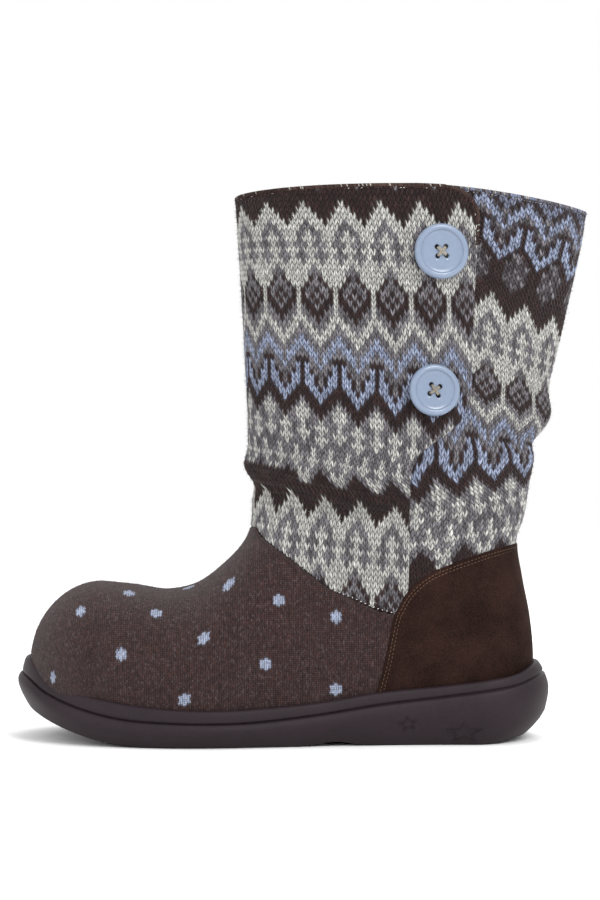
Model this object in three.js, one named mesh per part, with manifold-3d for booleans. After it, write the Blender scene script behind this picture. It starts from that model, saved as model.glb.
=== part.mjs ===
// Knit boot with a suede heel, two buttons and a moulded rubber sole. Left shoe, millimetres, +Z up.
// The toe points along -X and the outer side, with the buttons, faces -Y. The floor is z = 0.
// The origin is on the flat underside of the sole, at the middle of its length.
import * as THREE from 'three';
import * as BufferGeometryUtils from 'three/addons/utils/BufferGeometryUtils.js';
import Module from 'manifold-3d';

const wasm = await Module();
wasm.setup();

// Driving dimensions
const soleLength = 270;
const ballWidth = 103;
const heelWidth = 76;
const collarHeight = 276;
const wall = 2.2;
const gap = 0.3;
const vampStep = 0.7;
const counterThickness = 1.2;
const flapThickness = 2.2;
const insoleThickness = 3;
const ringCount = 32;

// Ends of the sole and of the last
const toeEnd = -soleLength / 2;
const heelEnd = soleLength / 2;
const lastToe = toeEnd + 7.5;
const lastEnd = 95;
const heelFade = 40;
const toeCap = { x: -92, y: 4, z: 38, openings: [12, 26, 40, 54, 67, 79] };

// Where the rings of the last turn from the foot to the shaft, and their steps
const ankle = { pivotX: -24, pivotZ: 116, footZ: 50, shaftX: 54 };
const footStep = 9;
const ankleStep = 9;
const shaftLevels = [
  116, 122, 127, 132, 137, 142, 147, 152, 157, 162, 168, 175, 184, 196, 210, 226, 243, 260, 276, 290,
];
const ankleBlend = 9;
const levelScale = 40;
const halfSpan = 120;
const below = -60;

// Foot of the last, cut by planes across X: centre line, half widths to each side, and heights
const footRows = [
  { x: -92, centreY: 5.0, outer: 42.5, inner: 42.5, midZ: 37, top: 78.0, bottom: -34, round: 2.3 },
  { x: -75, centreY: 3.5, outer: 45.0, inner: 45.0, midZ: 37, top: 76.4, bottom: -38, round: 2.3 },
  { x: -58, centreY: 1.5, outer: 46.0, inner: 45.0, midZ: 36, top: 74.2, bottom: -40, round: 2.3 },
  { x: -42, centreY: 0.0, outer: 45.5, inner: 43.0, midZ: 36, top: 78.2, bottom: -40, round: 2.2 },
  { x: -28, centreY: -1.0, outer: 43.0, inner: 40.0, midZ: 38, top: 88.8, bottom: -40, round: 2.2 },
  { x: -12, centreY: -1.5, outer: 39.5, inner: 36.0, midZ: 40, top: 105.2, bottom: -40, round: 2.2 },
  { x: 8, centreY: -2.0, outer: 36.5, inner: 32.5, midZ: 42, top: 122.0, bottom: -40, round: 2.3 },
  { x: 30, centreY: -1.5, outer: 33.0, inner: 29.5, midZ: 42, top: 126.0, bottom: -40, round: 2.3 },
  { x: 60, centreY: 0.0, outer: 29.0, inner: 28.5, midZ: 42, top: 110.0, bottom: -40, round: 2.3 },
];

// Heel and shaft, cut by level planes: front, widest place and back of the side outline, half widths to each
// side, and roundness ahead of and behind the widest place, where 1 would be straight
const shaftRows = [
  { z: 0, front: -10, widest: 57, back: 122.0, outer: 30.0, inner: 30.0, ahead: 2.4, behind: 2.5 },
  { z: 22, front: -10, widest: 57, back: 124.6, outer: 31.0, inner: 31.0, ahead: 2.4, behind: 2.5 },
  { z: 42, front: -8, widest: 58, back: 125.6, outer: 32.0, inner: 32.0, ahead: 2.4, behind: 2.4 },
  { z: 62, front: -4, widest: 58, back: 123.8, outer: 33.0, inner: 32.5, ahead: 2.3, behind: 2.3 },
  { z: 82, front: -6, widest: 55, back: 120.0, outer: 34.5, inner: 34.0, ahead: 2.3, behind: 2.15 },
  { z: 99, front: -11, widest: 52, back: 117.8, outer: 36.0, inner: 35.5, ahead: 2.3, behind: 2.0 },
  { z: 112, front: -14.4, widest: 50, back: 121.8, outer: 37.2, inner: 37.0, ahead: 2.4, behind: 1.9 },
  { z: 130, front: -14.8, widest: 48, back: 125.0, outer: 38.8, inner: 38.5, ahead: 2.5, behind: 1.8 },
  { z: 148, front: -16.6, widest: 47, back: 128.6, outer: 40.2, inner: 40.0, ahead: 2.6, behind: 1.7 },
  { z: 170, front: -17.2, widest: 46, back: 132.5, outer: 41.2, inner: 41.0, ahead: 2.6, behind: 1.65 },
  { z: 195, front: -18.6, widest: 46, back: 138.8, outer: 42.0, inner: 41.5, ahead: 2.6, behind: 1.7 },
  { z: 222, front: -20.0, widest: 46, back: 145.0, outer: 42.5, inner: 42.0, ahead: 2.6, behind: 1.7 },
  { z: 250, front: -21.8, widest: 46, back: 151.2, outer: 42.5, inner: 42.0, ahead: 2.6, behind: 1.7 },
  { z: 275, front: -23.4, widest: 46, back: 155.0, outer: 42.5, inner: 42.0, ahead: 2.6, behind: 1.7 },
  { z: 295, front: -24.5, widest: 46, back: 158.5, outer: 42.5, inner: 42.0, ahead: 2.6, behind: 1.7 },
];

// Slouch folds of the shaft: height and swell at the front, outer side, back and inner side
const foldRows = [
  { height: [138, 123, 116, 126], swell: [3.2, 3.6, 0, 3.0], spread: 6.5 },
  { height: [128, 113, 106, 116], swell: [-1.4, -1.8, 0, -1.4], spread: 5 },
  { height: [168, 168, 164, 160], swell: [0, 0.8, 4.2, 2.8], spread: 9 },
  { height: [152, 152, 149, 146], swell: [0, 0, -2.6, -1.6], spread: 5 },
];

// Seam of vamp and shaft, and the counter's top edge, in the side view
const vampSeam = [
  [-140, 112], [-12.5, 106], [-8.5, 101], [2.5, 93], [13, 85], [24, 76.8], [35, 72.2], [46, 67.3],
  [54.9, 64.7], [52.2, 53], [49.7, 40.5], [45.8, 26], [42, 10], [-140, 10],
];
const counterEdge = [
  [42.5, 10], [46.3, 26], [50.2, 40.5], [52.7, 53], [55.1, 63.8], [57.1, 67.8], [60.1, 73.4], [65.5, 79.6],
  [72.9, 85], [82.2, 88.9], [93.1, 92.6], [104.8, 96], [119.1, 98.8], [150, 103], [150, 10],
];

// The flap's free edge runs down from the collar, then curves forward under the lower button
const flapEdge = [
  [58, 292], [88, 292], [90, 273], [94.5, 268], [96.5, 262], [96, 248], [94.5, 219], [93.5, 189],
  [92.5, 169], [88, 160], [80, 152.5], [72, 147], [66, 141], [63, 131], [58, 131],
];
const flapRamp = { start: 58, end: 76, thin: 0.5 };

const collarCrown = { x: 66, front: -24, back: 154, frontDrop: 3.2, backDrop: 10 };

const buttons = [
  { name: 'button_upper', x: 77, z: 242.5, diameter: 27.2 },
  { name: 'button_lower', x: 73.5, z: 174.5, diameter: 25.6 },
];
const buttonThickness = 4;
const buttonStandOff = 0.8;
const holeSpacing = 4.4;
const holeDiameter = 2.3;

// Side view heights of the sole: rim top, groove under the rim band, and footbed
const soleRows = [
  { x: -135, rim: 41.5, groove: 34.0, footbed: 21.0 },
  { x: -127, rim: 40.0, groove: 31.0, footbed: 20.0 },
  { x: -118, rim: 33.0, groove: 25.5, footbed: 18.5 },
  { x: -100, rim: 26.0, groove: 18.8, footbed: 16.0 },
  { x: -80, rim: 21.8, groove: 14.2, footbed: 14.0 },
  { x: -58, rim: 19.3, groove: 12.6, footbed: 13.0 },
  { x: -34, rim: 18.4, groove: 12.1, footbed: 13.0 },
  { x: -12, rim: 19.2, groove: 12.8, footbed: 14.0 },
  { x: 18, rim: 21.8, groove: 16.0, footbed: 16.5 },
  { x: 48, rim: 26.4, groove: 20.6, footbed: 20.0 },
  { x: 80, rim: 29.4, groove: 24.4, footbed: 22.5 },
  { x: 104, rim: 32.3, groove: 27.6, footbed: 23.5 },
  { x: 118, rim: 34.8, groove: 30.0, footbed: 24.0 },
  { x: 127, rim: 39.0, groove: 33.0, footbed: 24.0 },
  { x: 135, rim: 41.5, groove: 35.0, footbed: 24.0 },
];

// Plan of the sole: centre line and half widths, closed by round ends
const outlineRows = [
  { x: -135, centreY: 8.0, outer: 46.0, inner: 46.0 },
  { x: -95, centreY: 5.0, outer: 48.0, inner: 47.5 },
  { x: -62, centreY: 1.5, outer: ballWidth / 2, inner: ballWidth / 2 - 0.5 },
  { x: -35, centreY: -1.0, outer: 50.0, inner: 48.0 },
  { x: -5, centreY: -2.0, outer: 45.0, inner: 41.0 },
  { x: 30, centreY: -2.0, outer: 40.0, inner: 37.5 },
  { x: 65, centreY: -0.5, outer: heelWidth / 2, inner: heelWidth / 2 - 0.5 },
  { x: 100, centreY: 0.0, outer: heelWidth / 2, inner: heelWidth / 2 },
  { x: 135, centreY: 0.0, outer: heelWidth / 2, inner: heelWidth / 2 },
];
const toeRound = 50;
const heelRound = 38;
const endCurve = 2.1;
const planCount = 54;

// Wall of the sole from the floor up: how far inside the plan, and where between floor and groove or rim
const wallRows = [
  { inset: 16.0, from: 'under', share: 0 },
  { inset: 4.2, from: 'floor', share: 0.16 },
  { inset: 1.0, from: 'floor', share: 0.42 },
  { inset: 0.0, from: 'floor', share: 0.68 },
  { inset: 1.2, from: 'floor', share: 0.95 },
  { inset: 3.0, from: 'band', share: 0 },
  { inset: 2.2, from: 'band', share: 0.18 },
  { inset: 2.8, from: 'band', share: 0.6 },
  { inset: 4.6, from: 'band', share: 1 },
];
const underDepth = 12;
const wallCentreZ = 24;
const toeSpring = { start: -70, rise: 19, curve: 1.7 };
const heelLift = { start: 98, rise: 6, curve: 2 };
const arch = { from: 8, to: 44, rise: 2 };

// Tread: shallow slots across the forefoot and the heel, short of the sole's edge
const slotDepth = 2;
const slotWidth = 3.4;
const slotMargin = 15;
const slotRows = [
  { from: -92, step: 14, count: 6 },
  { from: 46, step: 14, count: 4 },
];

const suede = new THREE.MeshStandardMaterial({ color: 0x3a2418, roughness: 0.95, metalness: 0 });
const knit = new THREE.MeshStandardMaterial({ color: 0x807a78, roughness: 0.95, metalness: 0 });
const rubber = new THREE.MeshStandardMaterial({ color: 0x3b3130, roughness: 0.7, metalness: 0 });
const board = new THREE.MeshStandardMaterial({ color: 0x4a3a34, roughness: 0.9, metalness: 0 });
const resin = new THREE.MeshStandardMaterial({ color: 0x9fb2d6, roughness: 0.35, metalness: 0 });

// Smooth curve through one named column of a table
function read(rows, key, at, column) {
  let i = rows.findIndex((row) => row[key] > at);
  if (i < 0) i = rows.length - 1;
  i = Math.max(1, i);
  const a = rows[i - 1];
  const b = rows[i];
  const before = rows[i - 2] ?? a;
  const after = rows[i + 1] ?? b;
  const span = b[key] - a[key];
  const t = THREE.MathUtils.clamp((at - a[key]) / span, 0, 1);
  const slopeA = ((b[column] - before[column]) / (b[key] - before[key])) * span;
  const slopeB = ((after[column] - a[column]) / (after[key] - a[key])) * span;
  const t2 = t * t;
  const t3 = t2 * t;
  return (2 * t3 - 3 * t2 + 1) * a[column] + (t3 - 2 * t2 + t) * slopeA
    + (3 * t2 - 2 * t3) * b[column] + (t3 - t2) * slopeB;
}

// Signed closeness of a point to the foot of the last: below zero inside, about a millimetre scale
function footLevel(p) {
  const row = (column) => read(footRows, 'x', p.x, column);
  const y = p.y - row('centreY');
  const z = p.z - row('midZ');
  const wide = y < 0 ? row('outer') : row('inner');
  const high = z > 0 ? row('top') - row('midZ') : row('midZ') - row('bottom');
  const round = row('round');
  const section = (Math.abs(y / wide) ** round + Math.abs(z / high) ** round) ** (1 / round);
  const toe = Math.max(0, (toeCap.x - p.x) / (toeCap.x - lastToe));
  const back = Math.max(0, (p.x - heelFade) / (lastEnd - heelFade));
  return (Math.hypot(section, toe, back) - 1) * levelScale;
}

// Value between the four sides of the shaft: front, outer, back and inner
function aroundShaft(values, angle) {
  const turn = THREE.MathUtils.euclideanModulo(angle, 2 * Math.PI) / (Math.PI / 2);
  const side = Math.floor(turn) % 4;
  const t = THREE.MathUtils.smoothstep(turn - side, 0, 1);
  return values[side] * (1 - t) + values[(side + 1) % 4] * t;
}

function foldSwell(z, angle) {
  let swell = 0;
  for (const fold of foldRows) {
    const away = (z - aroundShaft(fold.height, angle)) / fold.spread;
    swell += aroundShaft(fold.swell, angle) * Math.exp(-away * away);
  }
  return swell;
}

// Signed closeness to the heel and shaft
function shaftLevel(p) {
  const row = (column) => read(shaftRows, 'z', p.z, column);
  const x = p.x - row('widest');
  const long = x < 0 ? row('widest') - row('front') : row('back') - row('widest');
  const wide = p.y < 0 ? row('outer') : row('inner');
  const swell = foldSwell(p.z, Math.atan2(-p.y / wide, -x / long));
  const round = row(x < 0 ? 'ahead' : 'behind');
  const along = Math.abs(x / (long + swell));
  const across = Math.abs(p.y / (wide + swell));
  const section = (along ** round + across ** round) ** (1 / round);
  const under = Math.max(0, (8 - p.z) / 16);
  return (Math.hypot(section, under) - 1) * levelScale;
}

// Foot and shaft flow into each other over a short soft hollow
function lastLevel(p) {
  const foot = footLevel(p);
  const shaft = shaftLevel(p);
  const near = Math.max(0, ankleBlend - Math.abs(foot - shaft)) / ankleBlend;
  return Math.min(foot, shaft) - (near * near * ankleBlend) / 4;
}

function castOut(origin, direction, level) {
  const p = new THREE.Vector3();
  const at = (r) => level(p.copy(direction).multiplyScalar(r).add(origin));
  let low = 0;
  let high = 4;
  while (at(high) < 0) {
    low = high;
    high += 4;
  }
  for (let i = 0; i < 20; i++) {
    const middle = (low + high) / 2;
    if (at(middle) < 0) low = middle;
    else high = middle;
  }
  return origin.clone().addScaledVector(direction, low);
}

function outward(p, level) {
  const step = 0.5;
  const slope = (axis) => {
    const shift = new THREE.Vector3().setComponent(axis, step);
    return level(p.clone().add(shift)) - level(p.clone().sub(shift));
  };
  return new THREE.Vector3(slope(0), slope(1), slope(2)).normalize();
}

// Stations along the last: round the toe, along the foot, round the ankle and up the shaft
function stations() {
  const outer = new THREE.Vector3(0, -1, 0);
  const ahead = new THREE.Vector3(-1, 0, 0);
  const up = new THREE.Vector3(0, 0, 1);
  const flat = Math.PI / 2;
  const list = toeCap.openings.map((degrees) => {
    const origin = new THREE.Vector3(toeCap.x, toeCap.y, toeCap.z);
    return { origin, top: up, outer, ahead, open: THREE.MathUtils.degToRad(degrees) };
  });
  for (let x = toeCap.x; x < ankle.pivotX - footStep / 2; x += footStep) {
    const share = (x - toeCap.x) / (ankle.pivotX - toeCap.x);
    const z = THREE.MathUtils.lerp(toeCap.z, ankle.footZ, share);
    const origin = new THREE.Vector3(x, toeCap.y * (1 - share), z);
    list.push({ origin, top: up, outer, ahead, open: flat });
  }
  for (let turn = 0; turn < 90; turn += ankleStep) {
    const angle = THREE.MathUtils.degToRad(turn);
    const reachX = (ankle.shaftX - ankle.pivotX) * Math.sin(angle);
    const reachZ = (ankle.footZ - ankle.pivotZ) * Math.cos(angle);
    const origin = new THREE.Vector3(ankle.pivotX + reachX, 0, ankle.pivotZ + reachZ);
    list.push({ origin, top: new THREE.Vector3(-reachX, 0, -reachZ).normalize(), outer, ahead, open: flat });
  }
  for (const z of shaftLevels) {
    list.push({ origin: new THREE.Vector3(ankle.shaftX, 0, z), top: ahead, outer, ahead, open: flat });
  }
  return list;
}

// Points of the last: one for the toe tip, then a ring for each station
function lastPoints() {
  const list = stations();
  const tip = castOut(list[0].origin, list[0].ahead, lastLevel);
  const rings = list.map((station) => {
    const ring = [];
    for (let i = 0; i < ringCount; i++) {
      const angle = (2 * Math.PI * i) / ringCount;
      const direction = station.top.clone().multiplyScalar(Math.cos(angle))
        .addScaledVector(station.outer, Math.sin(angle))
        .multiplyScalar(Math.sin(station.open))
        .addScaledVector(station.ahead, Math.cos(station.open));
      ring.push(castOut(station.origin, direction, lastLevel));
    }
    return ring;
  });
  return { tip, rings };
}

// Closed body through a tip point and rings, with a flat fan over the last ring
function ringBody(tip, rings, lid) {
  const count = rings[0].length;
  const points = [tip, ...rings.flat(), lid];
  const index = [];
  for (let i = 0; i < count; i++) {
    const j = (i + 1) % count;
    index.push(0, 1 + i, 1 + j);
    for (let k = 0; k + 1 < rings.length; k++) {
      const a = 1 + k * count;
      const b = a + count;
      index.push(a + i, b + i, a + j, a + j, b + i, b + j);
    }
    const last = 1 + (rings.length - 1) * count;
    index.push(last + i, points.length - 1, last + j);
  }
  const geometry = new THREE.BufferGeometry().setFromPoints(points);
  geometry.setIndex(index);
  return geometry;
}

function toSolid(geometry) {
  const bare = geometry.clone();
  bare.deleteAttribute('normal');
  bare.deleteAttribute('uv');
  const merged = BufferGeometryUtils.mergeVertices(bare, 1e-4);
  const triVerts = new Uint32Array(merged.index.array);
  const vertProperties = new Float32Array(merged.attributes.position.array);
  const solid = new wasm.Manifold(new wasm.Mesh({ numProp: 3, vertProperties, triVerts }));
  if (solid.volume() > 0) return solid;
  for (let i = 0; i < triVerts.length; i += 3) {
    [triVerts[i], triVerts[i + 1]] = [triVerts[i + 1], triVerts[i]];
  }
  return new wasm.Manifold(new wasm.Mesh({ numProp: 3, vertProperties, triVerts }));
}

function toMesh(name, solid, material) {
  const { vertProperties, triVerts, numProp } = solid.getMesh();
  const geometry = new THREE.BufferGeometry();
  const positions = new Float32Array((vertProperties.length / numProp) * 3);
  for (let i = 0; i < positions.length / 3; i++) {
    positions.set(vertProperties.subarray(i * numProp, i * numProp + 3), i * 3);
  }
  geometry.setAttribute('position', new THREE.BufferAttribute(positions, 3));
  geometry.setIndex(new THREE.BufferAttribute(new Uint32Array(triVerts), 1));
  geometry.computeVertexNormals();
  const mesh = new THREE.Mesh(geometry, material);
  mesh.name = name;
  return mesh;
}

// A cut along a curved face can leave a sliver beside the piece, which is dropped
function largest(solid) {
  return solid.decompose().reduce((best, part) => (part.volume() > best.volume() ? part : best));
}

// The last moved outwards by a distance, which may change over its surface
const last = lastPoints();
last.tipOut = outward(last.tip, lastLevel);
last.ringsOut = last.rings.map((ring) => ring.map((p) => outward(p, lastLevel)));

function grownLast(grow) {
  const by = typeof grow === 'function' ? grow : () => grow;
  const move = (p, out) => p.clone().addScaledVector(out, by(p));
  const rings = last.rings.map((ring, k) => ring.map((p, i) => move(p, last.ringsOut[k][i])));
  const top = rings[rings.length - 1];
  const lid = top.reduce((sum, p) => sum.add(p), new THREE.Vector3()).divideScalar(top.length);
  return toSolid(ringBody(move(last.tip, last.tipOut), rings, lid));
}

// Prism across the boot over an outline in the side view, points as x and z
function sidePrism(points, fromY = -halfSpan, toY = halfSpan) {
  const shape = new THREE.Shape(points.map(([x, z]) => new THREE.Vector2(x, z)));
  const geometry = new THREE.ExtrudeGeometry(shape, { depth: toY - fromY, bevelEnabled: false });
  geometry.rotateX(Math.PI / 2);
  geometry.translate(0, toY, 0);
  return toSolid(geometry);
}

function belowLine(height) {
  const points = [[-150, below]];
  for (let x = -150; x <= 150; x += 6) points.push([x, height(x)]);
  points.push([150, below]);
  return sidePrism(points);
}

function belowCurve(column, shift) {
  return belowLine((x) => read(soleRows, 'x', x, column) + shift);
}

// Above the collar line, which drops a little at the front and more at the back
function collarLine(x) {
  const front = Math.max(0, (collarCrown.x - x) / (collarCrown.x - collarCrown.front));
  const back = Math.max(0, (x - collarCrown.x) / (collarCrown.back - collarCrown.x));
  return collarHeight - collarCrown.frontDrop * front ** 2 - collarCrown.backDrop * back ** 1.6;
}

function aboveCollar() {
  const points = [[-60, 340]];
  for (let x = -60; x <= 180; x += 10) points.push([x, collarLine(x)]);
  points.push([180, 340]);
  return sidePrism(points);
}

function makeUpper() {
  const vamp = grownLast(vampStep).intersect(sidePrism(vampSeam));
  return grownLast(0).add(vamp)
    .subtract(grownLast(-wall))
    .subtract(belowCurve('footbed', gap))
    .subtract(aboveCollar());
}

function makeCounter() {
  const band = grownLast(gap + counterThickness)
    .subtract(grownLast(gap))
    .intersect(sidePrism(counterEdge))
    .subtract(soleBody(gap));
  return largest(band);
}

// The flap rises out of the shaft's wall, then lies over the back panel at full thickness
function makeFlap() {
  const rise = (p) => THREE.MathUtils.lerp(
    gap + flapRamp.thin,
    gap + flapThickness,
    THREE.MathUtils.smoothstep(p.x, flapRamp.start, flapRamp.end),
  );
  return grownLast(rise)
    .subtract(grownLast(gap))
    .intersect(sidePrism(flapEdge, -halfSpan, 0))
    .subtract(aboveCollar());
}

// Outer and inner edge of the sole's plan at a place along it
function planAt(x) {
  const row = (column) => read(outlineRows, 'x', x, column);
  const toe = Math.max(0, (toeEnd + toeRound - x) / toeRound);
  const heel = Math.max(0, (x - heelEnd + heelRound) / heelRound);
  const close = Math.sqrt(Math.max(0, 1 - toe ** endCurve)) * Math.sqrt(Math.max(0, 1 - heel ** endCurve));
  return { outerY: row('centreY') - row('outer') * close, innerY: row('centreY') + row('inner') * close };
}

// Plan of the sole as a closed ring of points, closer at its ends, moved inwards by an inset
function planRing(inset) {
  const count = planCount;
  const ring = [];
  for (let i = 0; i < count; i++) {
    const angle = (2 * Math.PI * i) / count;
    const lean = Math.cos(angle) * (1 + 0.12 * Math.sin(angle) ** 2);
    const x = THREE.MathUtils.clamp(lean, -1, 1) * (soleLength / 2);
    const plan = planAt(x);
    ring.push(new THREE.Vector2(x, Math.sin(angle) < 0 ? plan.outerY : plan.innerY));
  }
  return ring.map((p, i) => {
    const before = ring[(i + count - 1) % count];
    const after = ring[(i + 1) % count];
    const along = after.clone().sub(before).normalize();
    return new THREE.Vector2(p.x - along.y * inset, p.y + along.x * inset);
  });
}

function floorHeight(x) {
  const toe = Math.max(0, (toeSpring.start - x) / (toeSpring.start - toeEnd));
  const heel = Math.max(0, (x - heelLift.start) / (heelEnd - heelLift.start));
  const across = THREE.MathUtils.clamp((x - arch.from) / (arch.to - arch.from), 0, 1);
  const ends = toeSpring.rise * toe ** toeSpring.curve + heelLift.rise * heel ** heelLift.curve;
  return ends + arch.rise * Math.sin(Math.PI * across) ** 2;
}

// The sole without its pocket, raised by a lift where it serves to cut what stands on its rim
function soleBody(lift) {
  const rings = wallRows.map((row) => planRing(row.inset).map((p) => {
    const floor = floorHeight(p.x);
    const groove = read(soleRows, 'x', p.x, 'groove');
    const rim = read(soleRows, 'x', p.x, 'rim');
    const low = { under: floor - underDepth, floor, band: groove }[row.from];
    const high = { under: floor, floor: groove, band: rim }[row.from];
    return new THREE.Vector3(p.x, p.y, low + (high - low) * row.share);
  }));
  const low = new THREE.Vector3(0, 0, below);
  const high = new THREE.Vector3(0, 0, wallCentreZ);
  return toSolid(ringBody(low, rings, high).translate(0, 0, lift));
}

function makeSole() {
  const pocket = grownLast(vampStep + gap).subtract(belowCurve('footbed', 0));
  return soleBody(0)
    .subtract(belowLine(floorHeight))
    .subtract(pocket)
    .subtract(treadSlots());
}

// Slots with round ends, joined into one cutter
function treadSlots() {
  const cutters = [];
  for (const row of slotRows) {
    for (let i = 0; i < row.count; i++) {
      const x = row.from + i * row.step;
      const plan = planAt(x);
      const reach = (plan.innerY - plan.outerY) / 2 - slotMargin;
      const shape = new THREE.Shape();
      shape.absarc(0, reach, slotWidth / 2, 0, Math.PI, false);
      shape.absarc(0, -reach, slotWidth / 2, Math.PI, 2 * Math.PI, false);
      const options = { depth: slotDepth + underDepth, bevelEnabled: false, curveSegments: 3 };
      const geometry = new THREE.ExtrudeGeometry(shape, options);
      geometry.translate(x, (plan.innerY + plan.outerY) / 2, floorHeight(x) - underDepth);
      cutters.push(toSolid(geometry));
    }
  }
  return cutters.reduce((all, one) => all.add(one));
}

// Board inside the upper, just above the footbed
function makeInsole() {
  return grownLast(-wall - gap)
    .subtract(belowCurve('footbed', gap))
    .intersect(belowCurve('footbed', gap + insoleThickness));
}

// Button with a raised rim, a dished centre and four holes, its back at z = 0
function makeButton(diameter) {
  const r = diameter / 2;
  const t = buttonThickness;
  const profile = [
    [0, 0], [r - 2, 0], [r - 0.5, 0.15 * t], [r, 0.45 * t], [r - 0.5, 0.8 * t], [r - 2.2, t],
    [0.78 * r, 0.95 * t], [0.71 * r, 0.68 * t], [0.3 * r, 0.62 * t], [0, 0.62 * t],
  ];
  const disc = new THREE.LatheGeometry(profile.map(([x, y]) => new THREE.Vector2(x, y)), 24);
  disc.rotateX(Math.PI / 2);
  let solid = toSolid(disc);
  for (const x of [-holeSpacing / 2, holeSpacing / 2]) {
    for (const y of [-holeSpacing / 2, holeSpacing / 2]) {
      const hole = new THREE.CylinderGeometry(holeDiameter / 2, holeDiameter / 2, 4 * t, 10);
      hole.rotateX(Math.PI / 2);
      hole.translate(x, y, 0);
      solid = solid.subtract(toSolid(hole));
    }
  }
  return solid;
}

function placeButton(button) {
  const mesh = toMesh(button.name, makeButton(button.diameter), resin);
  const onLast = castOut(new THREE.Vector3(button.x, 0, button.z), new THREE.Vector3(0, -1, 0), lastLevel);
  const out = outward(onLast, lastLevel);
  mesh.position.copy(onLast).addScaledVector(out, gap + flapThickness + buttonStandOff);
  mesh.quaternion.setFromUnitVectors(new THREE.Vector3(0, 0, 1), out);
  return mesh;
}

const boot = new THREE.Group();
boot.name = 'knit_boot';
boot.add(toMesh('upper', makeUpper(), knit));
boot.add(toMesh('heel_counter', makeCounter(), suede));
boot.add(toMesh('front_flap', makeFlap(), knit));
boot.add(toMesh('sole', makeSole(), rubber));
boot.add(toMesh('insole', makeInsole(), board));
for (const button of buttons) boot.add(placeButton(button));

export default boot;
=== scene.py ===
# Knit boot: the looks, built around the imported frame. Tables and settings are in millimetres and degrees.
import math
from functools import partial
from itertools import product
import bpy
import bmesh
import numpy as np
from mathutils import Matrix, Vector


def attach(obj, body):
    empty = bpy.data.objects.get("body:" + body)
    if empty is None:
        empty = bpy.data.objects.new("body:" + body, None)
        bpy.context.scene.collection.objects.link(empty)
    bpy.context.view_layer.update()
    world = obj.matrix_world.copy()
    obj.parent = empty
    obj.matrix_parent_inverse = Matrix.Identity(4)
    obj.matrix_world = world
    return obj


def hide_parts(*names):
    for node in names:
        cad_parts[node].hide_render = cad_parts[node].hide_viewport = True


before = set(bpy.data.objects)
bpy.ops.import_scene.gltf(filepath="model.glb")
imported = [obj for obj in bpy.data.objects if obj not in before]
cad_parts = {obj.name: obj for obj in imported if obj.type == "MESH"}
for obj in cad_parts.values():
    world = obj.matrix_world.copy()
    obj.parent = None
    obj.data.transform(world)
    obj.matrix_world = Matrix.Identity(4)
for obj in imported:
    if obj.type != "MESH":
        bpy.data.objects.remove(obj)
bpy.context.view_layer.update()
mm = 0.001
rng = np.random.default_rng(7)


def columns(names, rows):
    return {name: np.array(column, float) for name, column in zip(names.split(), zip(*rows))}


def addObject(name, data):
    item = bpy.data.objects.new(name, data)
    bpy.context.scene.collection.objects.link(item)
    return item


def takeMesh(name, bm):
    mesh = bpy.data.meshes.new(name)
    bm.to_mesh(mesh)
    bm.free()
    return mesh


def newMaterial(name, looks):
    material = bpy.data.materials.new(name)
    material.use_nodes = True
    shader = material.node_tree.nodes["Principled BSDF"]
    for label, value in looks.items():
        shader.inputs[label].default_value = value
    return material, material.node_tree, shader


# Stage, camera and lights
view = {"place": (8.9, -1100, 145.5), "focal": 86.6}
stage = {"floorSize": 6000, "world": 1.0, "aim": (10, 0, 130),
         "floor": {"Base Color": (1, 1, 1, 1), "Roughness": 0.9}}
lights = [
    {"name": "key", "place": (650, -1000, 1150), "size": 700, "power": 13},
    {"name": "fill", "place": (-900, -900, 600), "size": 1000, "power": 3},
    {"name": "top", "place": (100, 250, 1300), "size": 900, "power": 5},
    {"name": "back", "place": (300, 1100, 600), "size": 1000, "power": 2},
]


def makeStage():
    scene = bpy.context.scene
    scene.view_settings.view_transform = "Standard"
    lens = bpy.data.cameras.new("camera")
    lens.lens = view["focal"]
    camera = addObject("camera", lens)
    camera.location = [value * mm for value in view["place"]]
    camera.rotation_euler = (math.pi / 2, 0, 0)
    scene.camera = camera
    for light in lights:
        data = bpy.data.lights.new(light["name"], "AREA")
        data.shape = "DISK"
        data.size = light["size"] * mm
        data.energy = light["power"]
        lamp = addObject(light["name"], data)
        lamp.location = Vector(light["place"]) * mm
        lamp.rotation_euler = (Vector(stage["aim"]) * mm - lamp.location).to_track_quat("-Z", "Y").to_euler()
    world = bpy.data.worlds.new("studio")
    world.use_nodes = True
    backdrop = world.node_tree.nodes["Background"].inputs
    backdrop["Color"].default_value = (1, 1, 1, 1)
    backdrop["Strength"].default_value = stage["world"]
    scene.world = world
    bm = bmesh.new()
    bmesh.ops.create_grid(bm, x_segments=1, y_segments=1, size=stage["floorSize"] * mm / 2)
    floor = addObject("floor", takeMesh("floor", bm))
    floor.data.materials.append(newMaterial("floor", stage["floor"])[0])


makeStage()
print("stage ready")

# The last, as in the solids: sections of the foot across X, and of the shaft across Z
levelScale = 40
ankleBlend = 9
lastEnds = {"toeCap": -92, "toe": -127.5, "heelFade": 40, "heel": 95, "shaftFoot": 8, "shaftFade": 16}
footRows = columns("x centreY outer inner midZ top bottom round", [
    (-92, 5.0, 42.5, 42.5, 37, 78.0, -34, 2.3),
    (-75, 3.5, 45.0, 45.0, 37, 76.4, -38, 2.3),
    (-58, 1.5, 46.0, 45.0, 36, 74.2, -40, 2.3),
    (-42, 0.0, 45.5, 43.0, 36, 78.2, -40, 2.2),
    (-28, -1.0, 43.0, 40.0, 38, 88.8, -40, 2.2),
    (-12, -1.5, 39.5, 36.0, 40, 105.2, -40, 2.2),
    (8, -2.0, 36.5, 32.5, 42, 122.0, -40, 2.3),
    (30, -1.5, 33.0, 29.5, 42, 126.0, -40, 2.3),
    (60, 0.0, 29.0, 28.5, 42, 110.0, -40, 2.3),
])
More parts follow.
